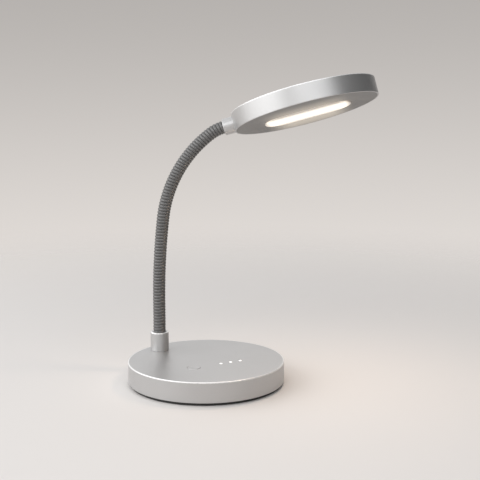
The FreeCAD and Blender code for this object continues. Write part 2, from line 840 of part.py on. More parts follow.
def neck_leads():
    """The lead inside the neck, one stretch to a link, with the link gaps."""
    pitch = size("rib_pitch")
    radius = size("lead_diameter") / 2
    spans = list(link_ends())
    for index, (start, end, low, high) in enumerate(spans, start=1):
        count = round((end - start) / pitch)
        between = [(start + step * pitch, radius) for step in range(1, count)]
        stations = [(low, radius), *between, (high, radius)]
        if index == len(spans):
            stations.append((head_mouth_length() + lead_end_reach(), radius))
        shape = tube_through(stations)
        if index == 1:
            shape = shape.fuse(lead_start_shape()).removeSplitter()
        solid_piece(f"lead_{index}", shape, f"neck_lead_{index:02d}", neck_frame())


# The head's own frame: X from the neck outwards, Z up through the lid, origin at the disc's middle.

def head_mouth_length():
    """Length along the neck at the mouth of the head socket."""
    return neck_length() - size("head_socket_seat")


def head_centre_length():
    return head_mouth_length() + size("head_socket_length") + size("head_diameter") / 2


def lead_end_reach():
    """Length from the head socket's mouth to the rear face of the light board's terminal."""
    board_rear = size("window_length") / 2 + size("diffuser_flange_width") + size("led_board_overhang")
    return size("head_socket_length") + size("head_diameter") / 2 + size("window_shift") - board_rear


def head_frame():
    """Placement of the head: on the neck's last tangent, rolled about it."""
    point, lean = neck_point(head_centre_length())
    tilt = Rotation(Vector(0, 1, 0), -lean)
    roll = Rotation(Vector(1, 0, 0), size("head_roll_angle"))
    return neck_frame().multiply(Placement(point, tilt.multiply(roll)))


def sideways(length_from_centre):
    """Placement that turns a body's Z to the head's X, at a length from the head's middle."""
    return Placement(Vector(length_from_centre, 0, 0), Rotation(Vector(0, 1, 0), 90))


def base_socket():
    """Collar on the base: a seat for the neck above, a threaded stem below the shell's top."""
    seat_low = "base_height + socket_height - socket_seat"
    body = turned("socket_body", [
        ("neck_bore_diameter / 2", "base_height - socket_stem_length"),
        ("socket_stem_diameter / 2", "base_height - socket_stem_length"),
        ("socket_stem_diameter / 2", "base_height"),
        ("socket_diameter / 2", "base_height"),
        ("socket_diameter / 2", "base_height + socket_height - socket_chamfer"),
        ("socket_diameter / 2 - socket_chamfer", "base_height + socket_height"),
        ("neck_crest_diameter / 2 + fit_clearance", "base_height + socket_height"),
        ("neck_crest_diameter / 2 + fit_clearance", seat_low),
        ("neck_bore_diameter / 2", seat_low),
    ])
    bind(body, x="neck_x", y=NECK_Y)
    tap = doc.addObject("Part::Cylinder", "socket_tap")
    tap.Placement = Placement(Vector(), Rotation(Vector(1, 0, 0), -90))
    bind(tap, Radius="grub_screw_diameter / 2 + fit_clearance", Height="socket_diameter / 2")
    bind(tap, x="neck_x", y=NECK_Y, z="base_height + socket_height - socket_seat / 2")
    piece(cut("neck_socket_cut", body, tap), "neck_socket")

    grub = doc.addObject("Part::Cylinder", "socket_grub")
    grub.Placement = Placement(Vector(), Rotation(Vector(1, 0, 0), -90))
    inner = "neck_crest_diameter / 2 + fit_clearance"
    bind(grub, Radius="grub_screw_diameter / 2", Height=f"socket_diameter / 2 - 0.3 - ({inner})")
    bind(grub, x="neck_x", y=f"{NECK_Y} + {inner}", z="base_height + socket_height - socket_seat / 2")
    piece(grub, "socket_grub_screw")

    hexagon = doc.addObject("Part::Prism", "nut_hexagon")
    bind(hexagon, Circumradius="nut_across_flats / sqrt(3)", Height="nut_thick")
    bind(hexagon, x="neck_x", y=NECK_Y, z=f"{INNER_TOP} - nut_flange_thick - nut_thick")
    flange = cylinder("nut_flange", "nut_flange_diameter", "nut_flange_thick", "neck_x", NECK_Y,
                      f"{INNER_TOP} - nut_flange_thick")
    bore = "socket_stem_diameter + 2 * fit_clearance"
    thread = cylinder("nut_thread", bore, "nut_flange_thick + nut_thick", "neck_x", NECK_Y,
                      f"{INNER_TOP} - nut_flange_thick - nut_thick")
    piece(cut("nut_cut", join("nut_blank", hexagon, flange), thread), "socket_nut")


def lead_plug():
    """Plug at the lower end of the lead, under the power board."""
    block = box("plug_block", "plug_length", "plug_width", "plug_height",
                "neck_x + plug_gap + plug_length / 2", NECK_Y, f"{BOARD_UNDERSIDE} - plug_height")
    piece(block, "lead_plug")


def head_shell():
    """Shallow round tray, open below, with a ledge for the underside plate and a hole for the stem."""
    low = "-head_thick / 2"
    ledge_low = f"{low} + underside_plate_thick"
    inner = "head_diameter / 2 - head_side_wall"
    body = turned("head_body", [
        ("0", "head_thick / 2 - head_top_wall"),
        (inner, "head_thick / 2 - head_top_wall"),
        (inner, f"{ledge_low} + ledge_thick"),
        (f"{inner} - ledge_width", f"{ledge_low} + ledge_thick"),
        (f"{inner} - ledge_width", ledge_low),
        (inner, ledge_low),
        (inner, low),
        ("head_diameter / 2", low),
        ("head_diameter / 2", "head_thick / 2"),
        ("0", "head_thick / 2"),
    ])
    half = size("head_thick") / 2
    round_rim(body, "head_rims", size("head_diameter") / 2, [half, -half], "head_edge_round")
    hole = doc.addObject("Part::Cylinder", "stem_hole")
    hole.Placement = Placement(Vector(), Rotation(Vector(0, 1, 0), 90))
    bind(hole, Radius="head_stem_diameter / 2 + fit_clearance", Height="4 * head_side_wall")
    bind(hole, x="-head_diameter / 2 - head_side_wall")
    piece(cut("head_shell_cut", body, hole), "head_shell", head_frame())


def head_socket():
    """Collar that carries the head: neck seat, saddle against the round wall and threaded stem."""
    body = turned("head_socket_body", [
        ("neck_crest_diameter / 2 + fit_clearance", "0"),
        ("head_socket_diameter / 2 - head_socket_chamfer", "0"),
        ("head_socket_diameter / 2", "head_socket_chamfer"),
        ("head_socket_diameter / 2", "head_socket_length + 1"),
        ("head_stem_diameter / 2", "head_socket_length + 1"),
        ("head_stem_diameter / 2", "head_socket_length + head_stem_length"),
        ("neck_bore_diameter / 2", "head_socket_length + head_stem_length"),
        ("neck_bore_diameter / 2", HEAD_SEAT),
        ("neck_crest_diameter / 2 + fit_clearance", HEAD_SEAT),
    ])
    body.Placement = sideways(-size("head_diameter") / 2 - size("head_socket_length"))
    bind(body, x="-head_diameter / 2 - head_socket_length")
    drum = cylinder("saddle_drum", "head_diameter", "head_thick", z="-head_thick / 2")
    stem_keep = doc.addObject("Part::Cylinder", "saddle_keep")
    stem_keep.Placement = Placement(Vector(), Rotation(Vector(0, 1, 0), 90))
    bind(stem_keep, Radius="head_stem_diameter / 2", Height="2 * head_stem_length")
    bind(stem_keep, x="-head_diameter / 2 - 1")
    saddle = cut("saddle", drum, stem_keep)
    tap = doc.addObject("Part::Cylinder", "head_tap")
    tap.Placement = Placement(Vector(), Rotation(Vector(1, 0, 0), -90))
    bind(tap, Radius="grub_screw_diameter / 2 + fit_clearance", Height="head_socket_diameter")
    bind(tap, x=f"-head_diameter / 2 - head_socket_length + ({HEAD_SEAT}) / 2")
    piece(cut("head_socket_cut", body, saddle, tap), "head_socket", head_frame())

    grub = doc.addObject("Part::Cylinder", "head_grub")
    grub.Placement = Placement(Vector(), Rotation(Vector(1, 0, 0), -90))
    inner = "neck_crest_diameter / 2 + fit_clearance"
    bind(grub, Radius="grub_screw_diameter / 2", Height=f"head_socket_diameter / 2 - 0.2 - ({inner})")
    bind(grub, x=f"-head_diameter / 2 - head_socket_length + ({HEAD_SEAT}) / 2", y=inner)
    piece(group("head_grub_group", [grub]), "head_grub_screw", head_frame())

    hexagon = doc.addObject("Part::Prism", "head_nut_hexagon")
    flats_level = Rotation(Vector(0, 0, 1), 30)
    hexagon.Placement = Placement(Vector(), Rotation(Vector(0, 1, 0), 90).multiply(flats_level))
    start = "-head_diameter / 2 + head_side_wall + head_nut_standoff"
    across_corners = "head_nut_across_flats / sqrt(3)"
    bind(hexagon, Circumradius=across_corners, Height="head_nut_thick", x=start)
    thread = doc.addObject("Part::Cylinder", "head_nut_thread")
    thread.Placement = Placement(Vector(), Rotation(Vector(0, 1, 0), 90))
    bind(thread, Radius="head_stem_diameter / 2 + fit_clearance", Height="head_nut_thick", x=start)
    piece(cut("head_nut_cut", hexagon, thread), "head_nut", head_frame())


UNDERSIDE = "-head_thick / 2"
PLATE_INNER = "(underside_plate_thick - head_thick / 2)"
FLANGE_LENGTH = "window_length + 2 * diffuser_flange_width"
FLANGE_WIDTH = "window_width + 2 * diffuser_flange_width"
REFLECTOR_LOW = f"({PLATE_INNER} + diffuser_flange_thick)"
LED_BOARD_LOW = f"({REFLECTOR_LOW} + reflector_height)"
SPREADER_LOW = f"({LED_BOARD_LOW} + led_board_thick)"
PAD_LOW = f"({SPREADER_LOW} + spreader_thick)"
HEAD_SEAT = "(head_socket_seat + head_seat_gap)"


def underside_and_window():
    """Flat plate that closes the head, with the round-ended window and its raised diffuser."""
    disc_diameter = "head_diameter - 2 * head_side_wall - 2 * underside_plate_clearance"
    disc = cylinder("underside_disc", disc_diameter, "underside_plate_thick", z=UNDERSIDE)
    window = stadium("window_cutter", "window_length + 2 * window_clearance",
                     "window_width + 2 * window_clearance", "underside_plate_thick", "window_shift",
                     UNDERSIDE)
    piece(cut("underside_cut", disc, window), "underside_plate", head_frame())

    lens = stadium("lens_front", "window_length", "window_width", "diffuser_proud + underside_plate_thick",
                   "window_shift", f"{UNDERSIDE} - diffuser_proud")
    flange = stadium("lens_flange", FLANGE_LENGTH, FLANGE_WIDTH, "diffuser_flange_thick", "window_shift",
                     PLATE_INNER)
    piece(join("diffuser_joined", lens, flange), "diffuser", head_frame())

    outer = stadium("reflector_outer", FLANGE_LENGTH, FLANGE_WIDTH, "reflector_height", "window_shift",
                    REFLECTOR_LOW)
    inner = stadium("reflector_inner", f"{FLANGE_LENGTH} - 2 * reflector_wall",
                    f"{FLANGE_WIDTH} - 2 * reflector_wall", "reflector_height", "window_shift",
                    REFLECTOR_LOW)
    piece(cut("reflector_cut", outer, inner), "reflector_frame", head_frame())


def led_screw_places():
    for x_sign in ("-", "+"):
        for y_sign in ("-", "+"):
            yield f"window_shift {x_sign} led_screw_x", f"0 {y_sign} led_screw_y"


def light_board():
    length = f"({FLANGE_LENGTH} + led_board_overhang)"
    middle = "window_shift - led_board_overhang / 2"
    hole = "led_screw_diameter + 2 * screw_clearance"
    board = box("led_board_blank", length, FLANGE_WIDTH, "led_board_thick", middle, "0", LED_BOARD_LOW)
    board_holes = [
        cylinder(f"led_board_hole_{index}", hole, "led_board_thick", x, y, LED_BOARD_LOW)
        for index, (x, y) in enumerate(led_screw_places())
    ]
    piece(cut("led_board_cut", board, *board_holes), "led_board", head_frame())

    spreader = box("spreader_blank", f"{length} + 2 * spreader_margin",
                   f"{FLANGE_WIDTH} + 2 * spreader_margin", "spreader_thick", middle, "0", SPREADER_LOW)
    spreader_holes = [
        cylinder(f"spreader_hole_{index}", hole, "spreader_thick", x, y, SPREADER_LOW)
        for index, (x, y) in enumerate(led_screw_places())
    ]
    piece(cut("spreader_cut", spreader, *spreader_holes), "heat_spreader", head_frame())

    pad_height = f"head_thick / 2 - head_top_wall - {PAD_LOW}"
    pad_block = box("pad_block", f"{length} - pad_inset", f"{FLANGE_WIDTH} - pad_inset", pad_height,
                    middle, "0", PAD_LOW)
    piece(group("pad_group", [pad_block]), "thermal_pad", head_frame())

    terminal_x = f"window_shift - ({FLANGE_LENGTH}) / 2 - led_board_overhang + terminal_length / 2"
    terminal = box("terminal_block", "terminal_length", "terminal_width", "terminal_height",
                   terminal_x, "0", f"{LED_BOARD_LOW} - terminal_height")
    piece(group("terminal_group", [terminal]), "led_terminal", head_frame())

    chips = []
    columns = int(size("led_column_count"))
    rows = int(size("led_row_count"))
    for column in range(columns):
        for row in range(rows):
            x = f"window_shift + ({column} - (led_column_count - 1) / 2) * led_pitch_x"
            y = f"({row} - (led_row_count - 1) / 2) * led_pitch_y"
            chips.append(box(f"led_{column}_{row}", "led_length", "led_width", "led_height", x, y,
                             f"{LED_BOARD_LOW} - led_height"))
    piece(group("led_group", chips), "led_chips", head_frame())

    screws = []
    for index, (x, y) in enumerate(led_screw_places()):
        head = cylinder(f"led_screw_head_{index}", "led_screw_head_diameter", "led_screw_head_thick", x, y,
                        f"{LED_BOARD_LOW} - led_screw_head_thick")
        shank = cylinder(f"led_screw_shank_{index}", "led_screw_diameter", "led_screw_length", x, y,
                         LED_BOARD_LOW)
        screws.append(join(f"led_screw_{index}", head, shank))
    piece(group("led_screw_group", screws), "led_screws", head_frame())


def build():
    for step in (base_shell, bottom_plate, foot_pad, base_screws, ballast_plate, battery, boards,
                 charging_port, button, indicators, ribbon_lead, base_socket, lead_plug, neck_links,
                 neck_leads, head_shell, head_socket, underside_and_window, light_board):
        step()
    doc.recompute()


def check():
    """Stop if any object failed or any piece has no sound shape."""
    for item in doc.Objects:
        if "Invalid" in item.State or "Error" in item.State:
            raise RuntimeError(f"{item.Name} failed: {item.State}")
    for label, item in PIECES.items():
        if item.Shape.isNull() or not item.Shape.isValid() or item.Shape.Volume <= 0:
            raise RuntimeError(f"{label} has no sound shape")


def write():
    os.makedirs("parts", exist_ok=True)
    for label, item in PIECES.items():
        item.Shape.exportStep(f"parts/{label}.step")


build()
check()
write()
print(len(PIECES), "pieces")
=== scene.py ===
"""Gooseneck desk lamp: the dressed model, its finishes and the pale studio that it stands in.

Every length is in metres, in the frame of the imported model: the origin at the base's centre on the
table, +Z up and -Y towards the user.
"""

import json
import logging
import math
from contextlib import contextmanager
from dataclasses import dataclass, field
from enum import Enum
from typing import Any, Callable, ClassVar, Iterator, Sequence

import bmesh
import bpy
from bpy.types import Material, Node, NodeSocket, NodeTree, Object
from mathutils import Euler, Matrix, Vector


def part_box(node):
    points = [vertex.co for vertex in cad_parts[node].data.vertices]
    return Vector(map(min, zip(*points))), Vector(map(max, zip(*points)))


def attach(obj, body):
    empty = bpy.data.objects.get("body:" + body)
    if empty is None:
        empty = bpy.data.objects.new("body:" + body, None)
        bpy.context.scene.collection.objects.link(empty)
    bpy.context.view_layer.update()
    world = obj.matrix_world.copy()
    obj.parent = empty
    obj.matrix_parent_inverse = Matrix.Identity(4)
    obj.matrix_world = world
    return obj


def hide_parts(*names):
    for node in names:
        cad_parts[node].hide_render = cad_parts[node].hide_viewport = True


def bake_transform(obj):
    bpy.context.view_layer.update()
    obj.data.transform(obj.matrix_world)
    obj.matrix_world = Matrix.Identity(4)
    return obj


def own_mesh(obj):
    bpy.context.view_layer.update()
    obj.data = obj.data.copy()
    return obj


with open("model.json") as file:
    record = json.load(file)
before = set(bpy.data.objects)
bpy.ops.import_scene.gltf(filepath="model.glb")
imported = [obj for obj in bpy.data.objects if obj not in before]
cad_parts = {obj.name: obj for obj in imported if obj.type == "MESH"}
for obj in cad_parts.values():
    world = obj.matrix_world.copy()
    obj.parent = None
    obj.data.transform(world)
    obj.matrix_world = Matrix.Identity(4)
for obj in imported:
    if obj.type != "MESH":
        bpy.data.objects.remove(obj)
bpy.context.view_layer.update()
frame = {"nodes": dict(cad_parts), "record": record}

log = logging.getLogger("desk_lamp")

Colour = tuple[float, float, float]
Section = Sequence[tuple[float, float]]
Sockets = Sequence[tuple[str, str, Any]]
Steps = tuple[float, float]
MM = 0.001
MERGE = 2e-6  # corners nearer than this are merged
SAME = 1e-6  # places nearer than this count as one


# ---------------------------------------------------------------- modelling helpers

def clear_selection() -> None:
    """Leave nothing selected, in object mode."""
    if bpy.context.object is not None and bpy.context.object.mode != "OBJECT":
        bpy.ops.object.mode_set(mode="OBJECT")
    bpy.ops.object.select_all(action="DESELECT")


def take(obj: Object) -> Object:
    """Select one object alone and make it the active one.

    Args:
        obj: The object to work on.

    Returns:
        The same object.
    """
    clear_selection()
    obj.select_set(True)
    bpy.context.view_layer.objects.active = obj
    return obj


@contextmanager
def editing(obj: Object) -> Iterator[None]:
    """Edit one object's mesh, with all of it selected at first.

    Args:
        obj: The object to edit.
    """
    take(obj)
    bpy.ops.object.mode_set(mode="EDIT")
    bpy.ops.mesh.select_all(action="SELECT")
    yield
    bpy.ops.object.mode_set(mode="OBJECT")


def modified(obj: Object, kind: str, **settings: Any) -> Object:
    """Put a modifier on an object and apply it.

    Args:
        obj: The object to change.
        kind: The modifier's type.
        settings: The modifier's own properties.

    Returns:
        The same object.
    """
    take(obj)
    bpy.ops.object.modifier_add(type=kind)
    modifier = obj.modifiers[-1]
    for key, value in settings.items():
        setattr(modifier, key, value)
    bpy.ops.object.modifier_apply(modifier=modifier.name)
    return obj


def pick(obj: Object, kind: str, test: Callable[[Any], bool]) -> int:
    """Select the vertices, edges or faces that pass a test, in edit mode.

    Args:
        obj: The object that is being edited.
        kind: "VERT", "EDGE" or "FACE".
        test: Says of one element whether it is wanted.

    Returns:
        How many were selected.
    """
    bpy.ops.mesh.select_mode(type=kind)
    bpy.ops.mesh.select_all(action="DESELECT")
    mesh = bmesh.from_edit_mesh(obj.data)
    elements = {"VERT": mesh.verts, "EDGE": mesh.edges, "FACE": mesh.faces}[kind]
    found = [element for element in elements if test(element)]
    for element in found:
        element.select_set(True)
    mesh.select_flush_mode()
    bmesh.update_edit_mesh(obj.data)
    return len(found)


def draw_up(height: float) -> None:
    """Extrude what is selected and move the new part up by a height, in edit mode."""
    bpy.ops.mesh.extrude_region_move(TRANSFORM_OT_translate={"value": (0.0, 0.0, height)})


def close_and_face_out() -> None:
    """Merge doubles, close open ends and turn every face outwards, in edit mode."""
    bpy.ops.mesh.select_mode(type="VERT")
    bpy.ops.mesh.select_all(action="SELECT")
    bpy.ops.mesh.remove_doubles(threshold=MERGE)
    bpy.ops.mesh.select_all(action="SELECT")
    bpy.ops.mesh.fill_holes(sides=0)
    bpy.ops.mesh.select_all(action="SELECT")
    bpy.ops.mesh.normals_make_consistent(inside=False)


def turned(name: str, section: Section, steps: int = 128) -> Object:
    """Draw a circle out ring by ring along a half section about Z.

    Args:
        name: The new object's name.
        section: Radius and height of each ring in turn. A section that ends where it starts makes a
            closed ring, and any other is closed by a flat face at each end.
        steps: How many corners a ring has.

    Returns:
        The closed solid, at the origin.
    """
    clear_selection()
    radius, height = section[0]
    bpy.ops.mesh.primitive_circle_add(vertices=steps, radius=radius, location=(0.0, 0.0, height))
    obj = bpy.context.object
    obj.name = obj.data.name = name
    bpy.ops.object.transform_apply(location=True, rotation=True, scale=True)
    with editing(obj):
        for next_radius, next_height in section[1:]:
            draw_up(next_height - height)
            ratio = next_radius / radius
            if abs(ratio - 1.0) > 1e-9:
                middle = (0.0, 0.0, next_height)
                bpy.ops.transform.resize(value=(ratio, ratio, 1.0), center_override=middle)
            radius, height = next_radius, next_height
        close_and_face_out()
    return obj


def rounded(
    radius: float, height: float, rounding: float, start: float, steps: int = 5
) -> list[tuple[float, float]]:
    """Points of a quarter round in a half section.

    Args:
        radius: Radius, from the turning axis, of the quarter circle's middle.
        height: Height of the quarter circle's middle.
        rounding: The quarter circle's own radius.
        start: The angle where it starts, in degrees, from outwards and towards up. It ends 90 degrees less.
        steps: How many straight pieces stand for the quarter.

    Returns:
        The points, from start to end.
    """
    angles = [math.radians(start - 90.0 * step / steps) for step in range(steps + 1)]
    return [(radius + rounding * math.cos(a), height + rounding * math.sin(a)) for a in angles]


def round_ended(
    name: str, length: float, width: float, low: float, high: float, shift: float = 0.0
) -> Object:
    """A straight-sided block with round ends, its long way along X, made from a stretched circle.

    Args:
        name: The new object's name.
        length: Over both round ends.
        width: Across the straight sides.
        low: Height of the underside.
        high: Height of the top.
        shift: The block's middle along X.

    Returns:
        The closed block.
    """
    steps = 66
    radius = width / 2 / math.cos(math.pi / steps)
    clear_selection()
    bpy.ops.mesh.primitive_circle_add(
        vertices=steps, radius=radius, fill_type="NGON", location=(shift, 0.0, low)
    )
    obj = bpy.context.object
    obj.name = obj.data.name = name
    bpy.ops.object.transform_apply(location=True, rotation=True, scale=True)
    with editing(obj):
        for side in (-1.0, 1.0):
            pick(obj, "VERT", lambda vert, side=side: (vert.co.x - shift) * side > 0)
            bpy.ops.transform.translate(value=(side * (length - width) / 2, 0.0, 0.0))
        bpy.ops.mesh.select_all(action="SELECT")
        draw_up(high - low)
        close_and_face_out()
    return obj


def spot(x: float, y: float, z: float = 0.0, turn: float = 0.0, axis: str = "Y") -> Matrix:
    """A place, turned by an angle in degrees about one of its axes."""
    return Matrix.Translation((x, y, z)) @ Matrix.Rotation(math.radians(turn), 4, axis)


def copied(obj: Object) -> Object:
    """A copy of an object, with a mesh of its own."""
    take(obj)
    bpy.ops.object.duplicate(linked=False)
    return bpy.context.object


def place(obj: Object, matrix: Matrix) -> Object:
    """Put an object in its place and keep that place in its mesh.

    Args:
        obj: A mesh at the origin.
        matrix: Where it goes.

    Returns:
        The same object, unturned at the origin, with its mesh in place.
    """
    take(obj)
    obj.matrix_world = matrix @ obj.matrix_world
    bpy.ops.object.transform_apply(location=True, rotation=True, scale=True)
    return obj


def cut_away(obj: Object, *cutters: Object) -> Object:
    """Take each cutter's shape out of an object and remove the cutters.

    Args:
        obj: The solid to cut.
        cutters: Solids in place.

    Returns:
        The cut object.
    """
    for cutter in cutters:
        modified(obj, "BOOLEAN", operation="DIFFERENCE", solver="EXACT", object=cutter)
        bpy.data.objects.remove(cutter, do_unlink=True)
    return obj


def bevel_edges(obj: Object, test: Callable[[Any], bool], width: float, steps: int = 3) -> Object:
    """Round the edges that pass a test.

    Args:
        obj: The object to work on.
        test: Says of an edge whether it is to be rounded.
        width: How wide the rounding is.
        steps: How many faces it has.

    Returns:
        The same object.
    """
    with editing(obj):
        if pick(obj, "EDGE", test):
            bpy.ops.mesh.bevel(offset=width, segments=steps, profile=0.5, affect="EDGES")
    return obj


def smooth(obj: Object, angle: float = 32.0) -> Object:
    """Shade an object smoothly, apart from edges sharper than an angle in degrees."""
    take(obj)
    bpy.ops.object.shade_smooth_by_angle(angle=math.radians(angle))
    return obj


def joined(name: str, objects: Sequence[Object]) -> Object:
    """Join several objects into one and name it.

    Args:
        name: The new object's name.
        objects: What to join.

    Returns:
        The one object.
    """
    take(objects[0])
    for obj in objects[1:]:
        obj.select_set(True)
    bpy.ops.object.join()
    result = bpy.context.object
    result.name = result.data.name = name
    return result


def paint(obj: Object, book: "FinishBook", slot: str) -> None:
    """Give a mesh the material of a slot and no other."""
    obj.data.materials.clear()
    obj.data.materials.append(book[slot])


def dress(obj: Object, book: "FinishBook", slot: str, body: str, *nodes: str) -> None:
    """Finish a piece: its material, the record's slot, the body it rides on and what it stands for.

    Args:
        obj: The finished mesh, in place.
        book: The lamp's materials.
        slot: The record's material slot.
        body: The body that it moves with.
        nodes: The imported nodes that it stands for.
    """
    paint(obj, book, slot)
    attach(obj, body)
    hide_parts(*nodes)
    log.info("%s: %d faces, stands for %s", obj.name, len(obj.data.polygons), ", ".join(nodes))


# ---------------------------------------------------------------- finishes

@dataclass
class Graph:
    """A node tree with short ways to add and join its nodes."""

    tree: NodeTree

    def add(self, kind: str, values: dict[str | int, Any] | None = None, **settings: Any) -> Node:
        """Add a node.

        Args:
            kind: The node's type name.
            values: Its inputs by name or number. A socket is joined, and anything else is set.
            settings: Its own properties.

        Returns:
            The new node.
        """
        node = self.tree.nodes.new(kind)
        for key, value in settings.items():
            setattr(node, key, value)
        self.feed(node, values or {})
        return node

    def feed(self, node: Node, values: dict[str | int, Any]) -> None:
        """Give a node its inputs.

        Args:
            node: The node.
            values: Its inputs by name or number. A socket is joined, and anything else is set.
        """
        for key, value in values.items():
            if isinstance(value, NodeSocket):
                self.tree.links.new(value, node.inputs[key])
            else:
                node.inputs[key].default_value = value

    def math(self, operation: str, *operands: float | NodeSocket) -> NodeSocket:
        """The result of a Math node on these numbers or sockets."""
        return self.add("ShaderNodeMath", dict(enumerate(operands)), operation=operation).outputs[0]

    def spread(self, value: NodeSocket, low: float, high: float, to_low: Any, to_high: Any) -> NodeSocket:
        """A value's range from low to high moved smoothly to another range, and held beyond it."""
        inputs = {0: value, 1: low, 2: high, 3: to_low, 4: to_high}
        return self.add("ShaderNodeMapRange", inputs, interpolation_type="SMOOTHSTEP").outputs[0]

    def mix(self, factor: NodeSocket, first: Any, second: Any) -> NodeSocket:
        """A colour between two, by a factor."""
        inputs = {0: factor, 6: first, 7: second}
        return self.add("ShaderNodeMix", inputs, data_type="RGBA").outputs[2]

    def noise(self, where: NodeSocket, scale: float | NodeSocket, **values: float) -> NodeSocket:
        """Noise at a place, from 0 to 1."""
        more = {key.title(): value for key, value in values.items()}
        return self.add("ShaderNodeTexNoise", {"Vector": where, "Scale": scale, **more}).outputs[0]

    @property
    def object_place(self) -> NodeSocket:
        """Object coordinates."""
        return self.add("ShaderNodeTexCoord").outputs["Object"]


def rgba(colour: Colour) -> tuple[float, float, float, float]:
    """A colour with full opacity."""
    return (*colour, 1.0)


def new_material(name: str) -> tuple[Material, Graph, Node]:
    """Make a material.

    Args:
        name: The material's name.

    Returns:
        The material, its graph and its Principled shader.
    """
    material = bpy.data.materials.new(name)
    material.use_nodes = True
    graph = Graph(material.node_tree)
    return material, graph, graph.tree.nodes["Principled BSDF"]


